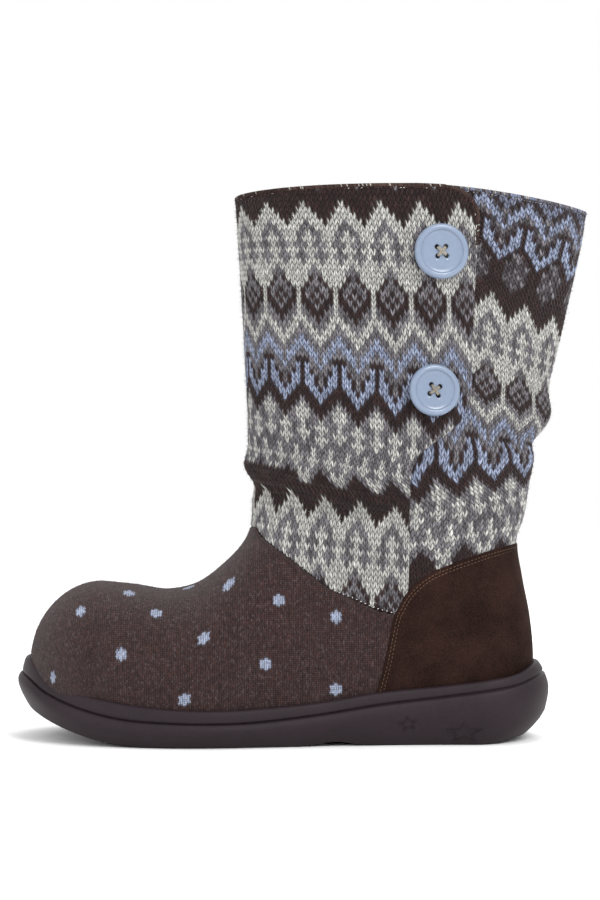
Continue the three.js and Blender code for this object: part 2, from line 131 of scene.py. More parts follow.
shaftRows = columns("z front widest back outer inner ahead behind", [
    (0, -10, 57, 122.0, 30.0, 30.0, 2.4, 2.5),
    (22, -10, 57, 124.6, 31.0, 31.0, 2.4, 2.5),
    (42, -8, 58, 125.6, 32.0, 32.0, 2.4, 2.4),
    (62, -4, 58, 123.8, 33.0, 32.5, 2.3, 2.3),
    (82, -6, 55, 120.0, 34.5, 34.0, 2.3, 2.15),
    (99, -11, 52, 117.8, 36.0, 35.5, 2.3, 2.0),
    (112, -14.4, 50, 121.8, 37.2, 37.0, 2.4, 1.9),
    (130, -14.8, 48, 125.0, 38.8, 38.5, 2.5, 1.8),
    (148, -16.6, 47, 128.6, 40.2, 40.0, 2.6, 1.7),
    (170, -17.2, 46, 132.5, 41.2, 41.0, 2.6, 1.65),
    (195, -18.6, 46, 138.8, 42.0, 41.5, 2.6, 1.7),
    (222, -20.0, 46, 145.0, 42.5, 42.0, 2.6, 1.7),
    (250, -21.8, 46, 151.2, 42.5, 42.0, 2.6, 1.7),
    (275, -23.4, 46, 155.0, 42.5, 42.0, 2.6, 1.7),
    (295, -24.5, 46, 158.5, 42.5, 42.0, 2.6, 1.7),
])
# Slouch folds: heights and swells at the front, outer side, back and inner side
foldRows = [
    {"height": (138, 123, 116, 126), "swell": (3.2, 3.6, 0, 3.0), "spread": 6.5},
    {"height": (128, 113, 106, 116), "swell": (-1.4, -1.8, 0, -1.4), "spread": 5},
    {"height": (168, 168, 164, 160), "swell": (0, 0.8, 4.2, 2.8), "spread": 9},
    {"height": (152, 152, 149, 146), "swell": (0, 0, -2.6, -1.6), "spread": 5},
]
# Lines of the side view
vampSeam = columns("x z", [
    (-12.5, 106), (-8.5, 101), (2.5, 93), (13, 85), (24, 76.8), (35, 72.2), (46, 67.3), (54.9, 64.7),
    (64, 60),
])
# where that seam meets the counter's edge
seamEnd = 54.9
counterEdge = columns("x z", [
    (42.5, 10), (46.3, 26), (50.2, 40.5), (52.7, 53), (55.1, 63.8), (57.1, 67.8), (60.1, 73.4), (65.5, 79.6),
    (72.9, 85), (82.2, 88.9), (93.1, 92.6), (104.8, 96), (119.1, 98.8), (150, 103),
])
flapEdge = columns("z x", [
    (40, 56), (76, 62), (131, 63.2), (141, 66), (147, 72), (152.5, 80), (160, 88), (169, 92.5), (189, 93.5),
    (219, 94.5), (248, 96), (262, 96.4), (267, 94.6), (270, 92.2), (272.3, 89.2), (274.3, 84.5), (275.6, 79),
    (282, 66),
])
collar = {"height": 276, "crown": 66, "front": -24, "back": 154, "frontDrop": 3.2, "backDrop": 10,
          "backCurve": 1.6}
soleRows = columns("x rim groove footbed", [
    (-135, 41.5, 34.0, 21.0), (-127, 40.0, 31.0, 20.0), (-118, 33.0, 25.5, 18.5), (-100, 26.0, 18.8, 16.0),
    (-80, 21.8, 14.2, 14.0), (-58, 19.3, 12.6, 13.0), (-34, 18.4, 12.1, 13.0), (-12, 19.2, 12.8, 14.0),
    (18, 21.8, 16.0, 16.5), (48, 26.4, 20.6, 20.0), (80, 29.4, 24.4, 22.5), (104, 32.3, 27.6, 23.5),
    (118, 34.8, 30.0, 24.0), (127, 39.0, 33.0, 24.0), (135, 41.5, 35.0, 24.0),
])
outlineRows = columns("x centreY outer inner", [
    (-135, 8.0, 46.0, 46.0), (-95, 5.0, 48.0, 47.5), (-62, 1.5, 51.5, 51.0), (-35, -1.0, 50.0, 48.0),
    (-5, -2.0, 45.0, 41.0), (30, -2.0, 40.0, 37.5), (65, -0.5, 38.0, 37.5), (100, 0.0, 38.0, 38.0),
    (135, 0.0, 38.0, 38.0),
])


# Smooth curve through one named column of a table
def read(rows, key, at, column):
    keys, values = rows[key], rows[column]
    at = np.asarray(at, float)
    b = np.clip(np.searchsorted(keys, at, side="right"), 1, len(keys) - 1)
    a = b - 1
    before = np.maximum(a - 1, 0)
    after = np.minimum(b + 1, len(keys) - 1)
    span = keys[b] - keys[a]
    t = np.clip((at - keys[a]) / span, 0, 1)
    slopeA = (values[b] - values[before]) / (keys[b] - keys[before]) * span
    slopeB = (values[after] - values[a]) / (keys[after] - keys[a]) * span
    t2, t3 = t * t, t * t * t
    return ((2 * t3 - 3 * t2 + 1) * values[a] + (t3 - 2 * t2 + t) * slopeA
            + (3 * t2 - 2 * t3) * values[b] + (t3 - t2) * slopeB)


def readAll(rows, key, at):
    return {name: read(rows, key, at, name) for name in rows if name != key}


def smooth(t):
    t = np.clip(t, 0, 1)
    return t * t * (3 - 2 * t)


def unit(vectors):
    return vectors / np.linalg.norm(vectors, axis=-1, keepdims=True)


# Distances along lines of points
def lengthsOf(points):
    steps = np.linalg.norm(np.diff(points, axis=-2), axis=-1)
    return np.concatenate([np.zeros_like(steps[..., :1]), np.cumsum(steps, axis=-1)], axis=-1)


# Values along a line, read at other distances
def resample(values, length, at):
    return np.stack([np.interp(at, length, column) for column in values.T], axis=1)


# Level of a box with rounded corners: 1 on its edge
def rounded(a, b, power):
    return (np.abs(a) ** power + np.abs(b) ** power) ** (1 / power)


# A quarter round towards an edge: 0 on it and 1 from the given radius inwards
def rolled(away, radius):
    return np.sqrt(1 - (1 - np.clip(away / radius, 0, 1)) ** 2)


def footLevel(p):
    x = p[..., 0]
    row = readAll(footRows, "x", x)
    y = p[..., 1] - row["centreY"]
    z = p[..., 2] - row["midZ"]
    wide = np.where(y < 0, row["outer"], row["inner"])
    high = np.where(z > 0, row["top"] - row["midZ"], row["midZ"] - row["bottom"])
    section = rounded(y / wide, z / high, row["round"])
    toe = np.maximum(0, (lastEnds["toeCap"] - x) / (lastEnds["toeCap"] - lastEnds["toe"]))
    heel = np.maximum(0, (x - lastEnds["heelFade"]) / (lastEnds["heel"] - lastEnds["heelFade"]))
    return (np.sqrt(section ** 2 + toe ** 2 + heel ** 2) - 1) * levelScale


# Value between the four sides of the shaft: front, outer, back and inner
def aroundShaft(values, angle):
    turn = np.mod(angle, 2 * np.pi) / (np.pi / 2)
    side = np.floor(turn).astype(int) % 4
    t = smooth(turn - np.floor(turn))
    values = np.array(values, float)
    return values[side] * (1 - t) + values[(side + 1) % 4] * t


def foldSwell(z, angle):
    swell = 0
    for fold in foldRows:
        away = (z - aroundShaft(fold["height"], angle)) / fold["spread"]
        swell = swell + aroundShaft(fold["swell"], angle) * np.exp(-away * away)
    return swell


def shaftLevel(p):
    z = p[..., 2]
    row = readAll(shaftRows, "z", z)
    x = p[..., 0] - row["widest"]
    long = np.where(x < 0, row["widest"] - row["front"], row["back"] - row["widest"])
    wide = np.where(p[..., 1] < 0, row["outer"], row["inner"])
    swell = foldSwell(z, np.arctan2(-p[..., 1] / wide, -x / long))
    power = np.where(x < 0, row["ahead"], row["behind"])
    section = rounded(x / (long + swell), p[..., 1] / (wide + swell), power)
    under = np.maximum(0, (lastEnds["shaftFoot"] - z) / lastEnds["shaftFade"])
    return (np.sqrt(section ** 2 + under ** 2) - 1) * levelScale


def lastLevel(p):
    foot, shaft = footLevel(p), shaftLevel(p)
    near = np.maximum(0, ankleBlend - np.abs(foot - shaft)) / ankleBlend
    return np.minimum(foot, shaft) - near * near * ankleBlend / 4


# Points where rays leave the last, and the directions out of it there
def castOut(origin, direction, reach=180, step=6, halvings=13):
    low = np.zeros(origin.shape[:-1])
    high = np.full(origin.shape[:-1], float(reach))
    found = np.zeros(origin.shape[:-1], bool)
    for r in np.arange(step, reach, step):
        outside = lastLevel(origin + direction * r) > 0
        high = np.where(outside & ~found, r, high)
        low = np.where(~outside & ~found, r, low)
        found |= outside
    for _ in range(halvings):
        middle = (low + high) / 2
        outside = lastLevel(origin + direction * middle[..., None]) > 0
        high = np.where(outside, middle, high)
        low = np.where(outside, low, middle)
    return origin + direction * low[..., None]


def outward(p):
    return unit(np.stack([lastLevel(p + step) - lastLevel(p - step) for step in np.eye(3) * 0.5], axis=-1))


# A sheet is a table of surface points over a first value and the distance along each of its lines
def makeSheet(firsts, origins, directions, arcs, settle=None):
    points = castOut(origins, directions)
    lengths = lengthsOf(points)
    if settle:
        lengths = settle(lengths)
    lines = np.concatenate([points, outward(points)], axis=-1)
    table = np.array([resample(line, length, arcs) for length, line in zip(lengths, lines)])
    return {"firsts": firsts, "seconds": arcs, "table": table, "lengths": lengths, "lines": lines}


def onSheet(sheet, first, second, lift=0.0, normals=False):
    firsts, seconds, table = sheet["firsts"], sheet["seconds"], sheet["table"]
    u = np.clip((first - firsts[0]) / (firsts[1] - firsts[0]), 0, len(firsts) - 1.001)
    v = np.clip((second - seconds[0]) / (seconds[1] - seconds[0]), 0, len(seconds) - 1.001)
    i, j = u.astype(int), v.astype(int)
    s, t = (u - i)[..., None], (v - j)[..., None]
    mixed = ((table[i, j] * (1 - s) + table[i + 1, j] * s) * (1 - t)
             + (table[i, j + 1] * (1 - s) + table[i + 1, j + 1] * s) * t)
    out = unit(mixed[..., 3:])
    points = mixed[..., :3] + out * np.asarray(lift, float)[..., None]
    return (points, out) if normals else points


# Heel and shaft: level lines turned about an axis, from the back past the front to the front again
shaftAxis = 54
turns = np.arange(-180, 361, 1.0)
levels = np.arange(18, 290, 1.0)
frontTurn, backTurn = 180, 360
clearLevel = 106


# Below the vamp's top the distances hold to the sides, so that the foot doesn't push the knit round
def settleShaft(lengths):
    lengths = lengths - lengths[:, frontTurn, None]
    clear = np.searchsorted(levels, clearLevel)
    for side, part in ((90, slice(frontTurn + 1, None)), (-90, slice(0, frontTurn))):
        sides = lengths[:, frontTurn + side]
        moved = lengths[:, part] - np.where(levels < clearLevel, sides - sides[clear], 0)[:, None]
        lengths[:, part] = np.maximum(moved, 0.01) if side > 0 else np.minimum(moved, -0.01)
    return lengths


def makeShaftSheet():
    z, turn = np.meshgrid(levels, np.radians(turns), indexing="ij")
    origins = np.stack([np.full_like(z, shaftAxis), np.zeros_like(z), z], axis=-1)
    directions = np.stack([-np.cos(turn), -np.sin(turn), np.zeros_like(z)], axis=-1)
    return makeSheet(levels, origins, directions, np.arange(-260, 480, 1.0), settleShaft)


shaftSheet = makeShaftSheet()
turnSheet = {"firsts": levels, "seconds": turns, "table": shaftSheet["lines"]}


def shaftRow(z):
    return np.clip(np.rint(z - levels[0]).astype(int), 0, len(levels) - 1)


# Distance round the shaft, or turn about its axis, at which the outer or inner side reaches x
def roundTo(x, z, inner=False, turned=False, ahead=False):
    first, last = (backTurn, len(turns)) if inner else (frontTurn, backTurn)
    if ahead:
        first, last = 0, frontTurn
    order = slice(None, None, -1) if inner or ahead else slice(None)
    found = []
    for k, target in zip(np.ravel(shaftRow(z)), np.ravel(x)):
        along = shaftSheet["lines"][k, first:last, 0]
        values = turns[first:last] if turned else shaftSheet["lengths"][k, first:last]
        found.append(np.interp(target, along[order], values[order]))
    return np.array(found).reshape(np.shape(z))


# Foot: upright lines round each section, and round the toe about an upright axis
toeTurn = {"x": -85, "y": 4.3, "z": 38}
sectionTurns = np.radians(np.arange(0, 126, 1.0))
footSpan = np.arange(0, 140, 1.0)
seamTop = -12.5
clearTop = -17.0


def makeSideSheet(side):
    x = np.arange(toeTurn["x"], 66, 1.0)
    at, turn = np.meshgrid(x, sectionTurns, indexing="ij")
    origins = np.stack([at, read(footRows, "x", at, "centreY"), np.full_like(at, toeTurn["z"])], axis=-1)
    origins[..., 1] += (toeTurn["y"] - origins[0, 0, 1]) * (at < toeTurn["x"] + 1)
    directions = np.stack([np.zeros_like(at), -side * np.sin(turn), np.cos(turn)], axis=-1)
    widest = 90
    edge = np.searchsorted(x, clearTop)

    def settle(lengths):
        return lengths - np.where(x > clearTop, lengths[:, widest] - lengths[edge, widest], 0)[:, None]
    return makeSheet(x, origins, directions, footSpan, settle)


def makeToeSheet():
    around = np.arange(-90, 91, 1.0)
    at, turn = np.meshgrid(np.radians(around), sectionTurns, indexing="ij")
    origins = np.broadcast_to(np.array([toeTurn["x"], toeTurn["y"], toeTurn["z"]], float), (*at.shape, 3))
    directions = np.stack([-np.cos(at) * np.sin(turn), -np.sin(at) * np.sin(turn), np.cos(turn)], axis=-1)
    return makeSheet(around, origins, directions, footSpan)


outerFoot, innerFoot, toeSheet = makeSideSheet(1), makeSideSheet(-1), makeToeSheet()


# Cloth of the foot: along it from the toe's axis, and across it, where the outer side is above zero
def onFoot(along, across, lift=0.0):
    around = np.degrees(np.arctan2(across, np.maximum(-along, 1e-6)))
    parts = [
        onSheet(outerFoot, toeTurn["x"] + along, across, lift, True),
        onSheet(innerFoot, toeTurn["x"] + along, -across, lift, True),
        onSheet(toeSheet, around, np.hypot(along, across), lift, True),
    ]
    which = np.where(along < 0, 2, np.where(across >= 0, 0, 1))[..., None]
    return [np.choose(which, values) for values in zip(*parts)]


def collarLine(x):
    front = np.maximum(0, (collar["crown"] - x) / (collar["crown"] - collar["front"]))
    back = np.maximum(0, (x - collar["crown"]) / (collar["back"] - collar["crown"]))
    drop = collar["frontDrop"] * front ** 2 + collar["backDrop"] * back ** collar["backCurve"]
    return collar["height"] - drop


# Height of the collar, or of a line below it, at turns about the shaft's axis
def collarTop(turn, below=0.0):
    top = np.full_like(turn, collar["height"])
    for _ in range(6):
        top = collarLine(onSheet(turnSheet, top, turn)[:, 0]) - below
    return top


print("last ready")


# Colours as linear values from hexadecimal sRGB
def colour(code):
    values = [int(code[i:i + 2], 16) / 255 for i in (0, 2, 4)]
    return tuple(v / 12.92 if v < 0.04045 else ((v + 0.055) / 1.055) ** 2.4 for v in values)


def addNode(tree, kind, inputs, **settings):
    node = tree.nodes.new("ShaderNode" + kind)
    for name, value in settings.items():
        setattr(node, name, value)
    for name, value in inputs.items():
        if isinstance(value, bpy.types.NodeSocket):
            tree.links.new(value, node.inputs[name])
        else:
            node.inputs[name].default_value = value
    return node.outputs


def maths(tree, operation, a, b=0.0):
    return addNode(tree, "Math", {0: a, 1: b}, operation=operation)[0]


def ramp(tree, value, low, high, out=(0.0, 1.0)):
    inputs = {"Value": value, "From Min": low, "From Max": high, "To Min": out[0], "To Max": out[1]}
    return addNode(tree, "MapRange", inputs, interpolation_type="SMOOTHSTEP")["Result"]


def noise(tree, vector, scale, detail, roughness):
    inputs = {"Vector": vector, "Scale": scale, "Detail": detail, "Roughness": roughness}
    return addNode(tree, "TexNoise", inputs)[0]


def newGroup(name, inputs, outputs):
    tree = bpy.data.node_groups.new(name, "ShaderNodeTree")
    for side, labels in (("INPUT", inputs), ("OUTPUT", outputs)):
        for label in labels.split():
            kind = "NodeSocketColor" if label == "Colour" else "NodeSocketFloat"
            tree.interface.new_socket(label, in_out=side, socket_type=kind)
    given, result = tree.nodes.new("NodeGroupInput").outputs, tree.nodes.new("NodeGroupOutput").inputs
    return tree, given, result, *(partial(maths, tree, kind) for kind in ("ADD", "SUBTRACT", "MULTIPLY"))


# Stitches of knitted yarn on a map where a whole step across is one leg and a whole step along one row
def makeYarnGroup():
    tree, given, result, plus, minus, times = newGroup(
        "yarn stitches", "Colour Fleck Cavity Groove Strands", "Colour Height")
    sine, whole, rest = (partial(maths, tree, kind) for kind in ("SINE", "FLOOR", "FRACT"))
    part = addNode(tree, "SeparateXYZ", {0: addNode(tree, "UVMap", {}, uv_map="stitch")[0]})
    legRow = addNode(tree, "CombineXYZ", {0: whole(part[0]), 1: whole(part[1])})[0]
    each = addNode(tree, "TexWhiteNoise", {"Vector": legRow}, noise_dimensions="3D")["Value"]
    crown = sine(times(rest(part[1]), math.pi))
    endways = sine(times(rest(part[0]), math.pi))
    body = times(maths(tree, "POWER", crown, 0.6), ramp(tree, endways, 0.0, 0.75, (0.35, 1.0)))
    # strands run along the leg with a slight twist
    slide = plus(rest(part[1]), times(rest(part[0]), 0.5))
    slide = times(plus(slide, whole(part[1])), given["Strands"])
    lines = addNode(tree, "CombineXYZ", {0: times(part[0], 2.2), 1: slide, 2: times(each, 9.0)})[0]
    fibre = noise(tree, lines, 1.6, 3.0, 0.65)
    spot = addNode(tree, "TexCoord", {})["Object"]
    fuzz = noise(tree, spot, 1400.0, 2.0, 0.7)
    mottle = noise(tree, spot, 420.0, 2.0, 0.6)
    # light and dark of the fibres, of each stitch and of the brushed yarn
    shade = plus(times(minus(fibre, 0.5), 1.5), times(minus(each, 0.5), 0.35))
    light = plus(plus(1.0, times(shade, given["Fleck"])), times(minus(mottle, 0.5), given["Fleck"]))
    # painted shade in the hollows between the rows and between the wales
    shadeOfHollows = ramp(tree, body, 0.15, 0.85)
    light = times(light, plus(minus(1.0, given["Cavity"]), times(shadeOfHollows, given["Cavity"])))
    waleShadeProfile = sine(times(rest(times(part[0], 0.5)), math.pi))
    light = times(light, minus(1.0, times(given["Groove"], ramp(tree, waleShadeProfile, 0.75, 0.15))))
    tinted = addNode(tree, "VectorMath", {0: given["Colour"], "Scale": light}, operation="SCALE")[0]
    tree.links.new(tinted, result["Colour"])
    tree.links.new(plus(plus(body, times(fibre, 0.7)), times(fuzz, 0.5)), result["Height"])
    return tree


# Fine cloth, nap or mould grain read from place alone
def makeGrainGroup():
    tree, given, result, plus, _, times = newGroup(
        "surface grain", "Colour Scale Contrast Patches", "Colour Height")
    spot = addNode(tree, "TexCoord", {})["Object"]
    fine = noise(tree, spot, given["Scale"], 4.0, 0.7)
    speckle = ramp(tree, fine, 0.32, 0.68, (-1.0, 1.0))
    patch = ramp(tree, noise(tree, spot, 45.0, 3.0, 0.6), 0.35, 0.65, (-1.0, 1.0))
    light = plus(1.0, plus(times(speckle, given["Contrast"]), times(patch, given["Patches"])))
    tinted = addNode(tree, "VectorMath", {0: given["Colour"], "Scale": light}, operation="SCALE")[0]
    tree.links.new(tinted, result["Colour"])
    tree.links.new(fine, result["Height"])
    return tree


yarnGroup, grainGroup = makeYarnGroup(), makeGrainGroup()


# A material with colour and relief from a group; where the colour is None, it takes its corners' own
def dressed(name, group, tint, inputs, bump, depth, looks):
    material, tree, shader = newMaterial(name, looks)
    own = (*colour(tint), 1) if tint else addNode(tree, "Attribute", {}, attribute_name="yarn")["Color"]
    out = addNode(tree, "Group", {"Colour": own, **inputs}, node_tree=group)
    tree.links.new(out["Colour"], shader.inputs["Base Color"])
    normal = addNode(tree, "Bump", {"Height": out["Height"], "Strength": bump, "Distance": depth * mm})[0]
    tree.links.new(normal, shader.inputs["Normal"])
    return material


def gloss(roughness, specular=0.5, sheen=0.0, **more):
    return {"Roughness": roughness, "Specular IOR Level": specular, "Sheen Weight": sheen, **more}


# Knitted yarn: its flecks, painted shade in the hollows and in the grooves between wales, and its strands
def knitted(name, fleck, cavity, groove, strands, bump, depth):
    inputs = {"Fleck": fleck, "Cavity": cavity, "Groove": groove, "Strands": strands}
    return dressed(name, yarnGroup, None, inputs, bump, depth, gloss(0.95, 0.15, 0.12))


# Anything finer: scale and contrast of its grain, its patches, and the relief's strength and depth
def grain(name, tint, scale, contrast, patches, bump, depth, looks):
    inputs = {"Scale": scale, "Contrast": contrast, "Patches": patches}
    return dressed(name, grainGroup, tint, inputs, bump, depth, looks)


# the second and third numbers of each are the painted shade in the hollows and between the wales
shaftYarn = knitted("shaft yarn", 0.95, 0.8, 0.1, 3.2, 1.0, 0.4)
vampYarn = knitted("vamp yarn", 1.0, 0.5, 0.6, 2.0, 0.9, 0.3)
edgeYarn = grain("edge yarn", None, 2200, 0.8, 0.3, 0.7, 0.12, gloss(0.9, 0.15))
suede = grain("suede", "251713", 1500, 0.45, 0.26, 0.9, 0.16,
              gloss(0.95, 0.1, 0.08, **{"Sheen Tint": (*colour("7a5a44"), 1)}))
rubber = grain("rubber", "241a1f", 700, 0.1, 0.08, 0.25, 0.05, gloss(0.55, 0.2))
resin = grain("button resin", "76849a", 500, 0.03, 0.03, 0.04, 0.02,
              gloss(0.28, **{"Coat Weight": 0.4, "Coat Roughness": 0.2}))
cover = grain("insole cloth", "4b3d37", 1300, 0.5, 0.3, 0.7, 0.15, gloss(0.95, 0.1))
lining = grain("lining cloth", "3f3330", 1100, 0.5, 0.3, 0.8, 0.2, gloss(0.95, 0.1))
# threads: colour, contrast of their fibres and roughness
threadRows = {"amber": ("573c28", 0.5, 0.7), "grey": ("8a8378", 0.5, 0.8), "pale": ("c9c7c4", 0.4, 0.8),
              "dark": ("2b2120", 0.5, 0.9)}
threads = {name: grain(name + " thread", tint, 2500, contrast, 0.2, 0.5, 0.05, gloss(roughness))
           for name, (tint, contrast, roughness) in threadRows.items()}
print("materials ready")


# Numbers of a mesh's points, faces or corners, a row for each
def numbers(items, label, width=1, kind=float):
    values = np.empty(len(items) * width, kind)
    items.foreach_get(label, values)
    return values.reshape(-1, width) if width > 1 else values


# A flat grid of faces as a mesh, with each point's whole steps along and across it
def gridMesh(name, along, across):
    bm = bmesh.new()
    bmesh.ops.create_grid(bm, x_segments=along, y_segments=across, size=1)
    mesh = takeMesh(name, bm)
    i, j = np.rint((numbers(mesh.vertices, "co", 3)[:, :2] + 1) / 2 * (along, across)).astype(int).T
    return mesh, i, j


def setPoints(mesh, points):
    mesh.vertices.foreach_set("co", (np.asarray(points) * mm).ravel())
    mesh.update()


# A grid's points in their places, with its faces turned outwards
def layGrid(mesh, i, j, points, outs):
    setPoints(mesh, points[j, i])
    faceOut(mesh, outs[j, i])


def cornerPoints(mesh):
    return numbers(mesh.loops, "vertex_index", kind=int)


def setMap(mesh, u, v):
    mesh.uv_layers.new(name="stitch").uv.foreach_set("vector", np.stack([u, v], axis=-1).ravel())


def setColours(mesh, tints):
    layer = mesh.color_attributes.new("yarn", "FLOAT_COLOR", "CORNER")
    layer.data.foreach_set("color", np.concatenate([tints, np.ones((len(tints), 1))], axis=1).ravel())


# Lays knit with its map, and gives the wale and row in the middle of each face
def layKnit(mesh, i, j, surface, wale, row, mapStart):
    layGrid(mesh, i, j, *surface)
    corners = cornerPoints(mesh)
    wale, row = wale[j, i][corners], row[j, i][corners]
    setMap(mesh, 2 * wale + mapStart, row + mapStart)
    return [values.reshape(-1, 4).mean(axis=1) for values in (wale, row)]


# Colours of four-sided faces on their corners, drawn towards the mean of the faces that meet there
def setTint(mesh, faceColours, bleed=0.0):
    corners = cornerPoints(mesh)
    tints = np.repeat(faceColours, 4, axis=0)
    sums = np.zeros((len(mesh.vertices), 3))
    np.add.at(sums, corners, tints)
    means = sums / np.bincount(corners, minlength=len(mesh.vertices))[:, None]
    setColours(mesh, tints + (means[corners] - tints) * bleed)


def removePoints(mesh, gone):
    bm = bmesh.new()
    bm.from_mesh(mesh)
    bm.verts.ensure_lookup_table()
    bmesh.ops.delete(bm, geom=[bm.verts[k] for k in np.flatnonzero(gone)], context="VERTS")
    bm.to_mesh(mesh)
    bm.free()


# Meshes as one, with points that meet merged and, where closed, the faces turned outwards
def joinMeshes(name, meshes, distance, closed=True):
    bm = bmesh.new()
    for mesh in meshes:
        bm.from_mesh(mesh)
    bmesh.ops.remove_doubles(bm, verts=bm.verts, dist=distance * mm)
    if closed:
        bmesh.ops.recalc_face_normals(bm, faces=bm.faces)
    return takeMesh(name, bm)


# Turns the faces over if they look against the given directions at the points
def faceOut(mesh, outs):
    mesh.update()
    if np.sum(numbers(mesh.vertices, "normal", 3) * outs) < 0:
        mesh.flip_normals()


def addPiece(name, mesh, material, replaces=()):
    mesh.materials.append(material)
    mesh.polygons.foreach_set("use_smooth", np.ones(len(mesh.polygons), bool))
    mesh.update()
    piece = addObject(name, mesh)
    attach(piece, "root")
    if replaces:
        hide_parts(*replaces)
    print(name, len(mesh.polygons), "faces")
    return piece


# Moves the first points outside an edge onto it along one direction of a grid, and says which points stay
def cutAlong(margin, values, axis):
    inside = margin > 0
    keep = inside.copy()
    for step in (1, -1):
        blank = [slice(None)] * 2
        blank[axis] = 0 if step == 1 else -1
        near = np.roll(inside, step, axis)
        near[tuple(blank)] = False
        nearMargin = np.roll(margin, step, axis)
        edge = ~inside & near
        share = nearMargin[edge] / (nearMargin[edge] - margin[edge])
        for value in values:
            moved = np.roll(value, step, axis)[edge]
            value[edge] = moved + (value[edge] - moved) * share
        keep |= edge
    return keep


# Knit chart, a row of eight stitches a word: brown, grey, white, light blue, a muted blue and dark grey. The
# first 55 rows repeat; the rest are the back panel's own rows above its white peaks
yarns = {"B": "271b1c", "G": "7f7b80", "W": "bebdb8", "L": "98a2bb", "M": "7a8095", "D": "4e484c"}
# the colour that each yarn is flecked with
flecks = {"B": "3b2926", "G": "363236", "W": "9f9e9c", "L": "666c80", "M": "484650", "D": "2b2324"}
period = 55
chart = """
BBBBWBBB BBBWWWBB BBWWWWWB BWWWGWWW WWWGGGWW WWGGWGGW WWGWWWGW WGGGWGGG WWGWWWGW WGGGWGGG WWGWWWGW
WWWWGWWW WWWGGGWW WWWBGBWW WWBGGGBW WBGGBGGB WBGBGBGB WBBGBGBB WGBBGBBG WGGBBBGG WWGGBGGW GWWGGGWW
GGWWGWWG LGGWWWGG LLGGWGGL GLLGGGLL GGLLGLLG BBGLGLGB BLGGLGGL BLBGGGBL BLLBGBLL BLLBGBLL BBLLBLLB
BBBLLLBB GBBBLBBB WGBBBBBG WWGBBBGW WWGGBGGW WGGGWGGG WGGWWWGG WWGGWGGW WGGWWWGG GGGGWGGG GGWGGGWG
GGWGGGWG GWWWGWWW GGWGGGWG GWGGBGGW WWGBBBGW WGBBBBBG GWBBBBBW WBBBBBBB GBBBBBBB BBBBBBBB BBBBBBBB
MDBDBDBM DMMDGDMM DBMMDMMB LDBMMMBD LLDBMBDL GLLDGDLL DGLLDLLG BBDLDLDB BLDGLGDL BLBDGDBL BLLBDBLL
BLLBGBLL BBLLBLLB GBBLLLBG GDBBLBBD DDGBBBGD GDDBBBDD DGDBBBDG DDGBBBGD GDBBBBBD DBBBBBBB BBBBBBBB
""".split()
chartColours, chartFlecks = (np.array([[colour(codes[letter]) for letter in line] for line in chart])
                             for codes in (yarns, flecks))

# Two wales of each panel as they show from the outer side: the wale, x and z by chart row
frontPanel = {
    "wales": columns("row waleA xA zA waleB xB zB", [
        (-8, 0, -3.5, 290.5, 24, 51.5, 290.5), (-2, 0, -0.4, 272.9, 24, 55.4, 272.9),
        (4, 0, 2.9, 256.2, 24, 59.5, 254.5), (15, 0, 8.1, 225.9, 24, 62.9, 222.8),
        (20, 0, 8.7, 211.8, 24, 63.5, 207.7), (23, 0, 9.9, 202.5, 24, 64.7, 197.9),
        (42, 0, 11, 150.6, 24, 63.5, 140.6), (50, 0, 11.6, 129.6, 24, 63.9, 121.6),
        (52, 0, 12, 125, 24, 64, 116.8), (65, 0, 8.9, 83.9, 24, 62.9, 78.8), (78, 0, 5, 43, 24, 62, 40),
    ]),
    "firstWale": -74, "lastWale": 44, "firstRow": -8, "lastRow": 77, "turnsTrue": (-16, -34),
    "tucked": 50, "tuckedRows": 3, "covered": {"row": 48, "before": -1},
}
backPanel = {
    "wales": columns("row waleA xA zA waleB xB zB", [
        (-24, 4, 113.5, 282.5, 12, 136.8, 277.5), (-8.5, 4, 107.5, 243.6, 12, 127.8, 238.5),
        (0, 4, 103.7, 223.2, 12, 121.0, 217.3), (15.5, 4, 101.0, 180.3, 12, 118.0, 174.8),
        (24, 4, 101.0, 161.3, 12, 117.8, 157.3), (34, -4, 85.4, 132.2, 4, 104.9, 133.3),
        (40.5, -4, 87.5, 116.3, 4, 106.4, 119.4), (45, -4, 88.3, 103.7, 4, 107.5, 106.5),
        (48, -4, 89.8, 96.2, 4, 108.9, 99), (58, -4, 91, 70, 4, 110, 73),
    ]),
    "firstWale": -22, "lastWale": 80, "firstRow": -24, "lastRow": 56, "turnsTrue": (20, 40),
}
# ends: how high a leg stands between the wales, halfway and in the middle of its wale
stitch = {"legSteps": 2, "rowSteps": 3, "slant": 0.42, "lift": 0.3, "relief": 0.55, "ends": (0.6, 1.0, 0.45),
          "flat": 0.2, "round": 0.7, "wobble": 0.07, "speckle": 0.14, "speckleEnds": (0.5, 1.5), "bleed": 0.4,
          "mapStart": 1000, "trueRow": 20}
innerSeam = 62.5


# Chart line of each stitch of the panels; a few rows of the front one are tucked into the fold, and ahead
# of one wale the roll over it shows only brown
def frontLine(row, wale):
    line = np.mod(np.where(row < frontPanel["tucked"], row, row + frontPanel["tuckedRows"]), period)
    covered = (row >= frontPanel["covered"]["row"]) & (row < frontPanel["tucked"])
    return np.where(covered & (wale < frontPanel["covered"]["before"]), period - 1, line)


def backLine(row, wale):
    own = len(chart) - period
    return np.where(row < 0, period + np.maximum(row + own, 0), np.mod(row, period))


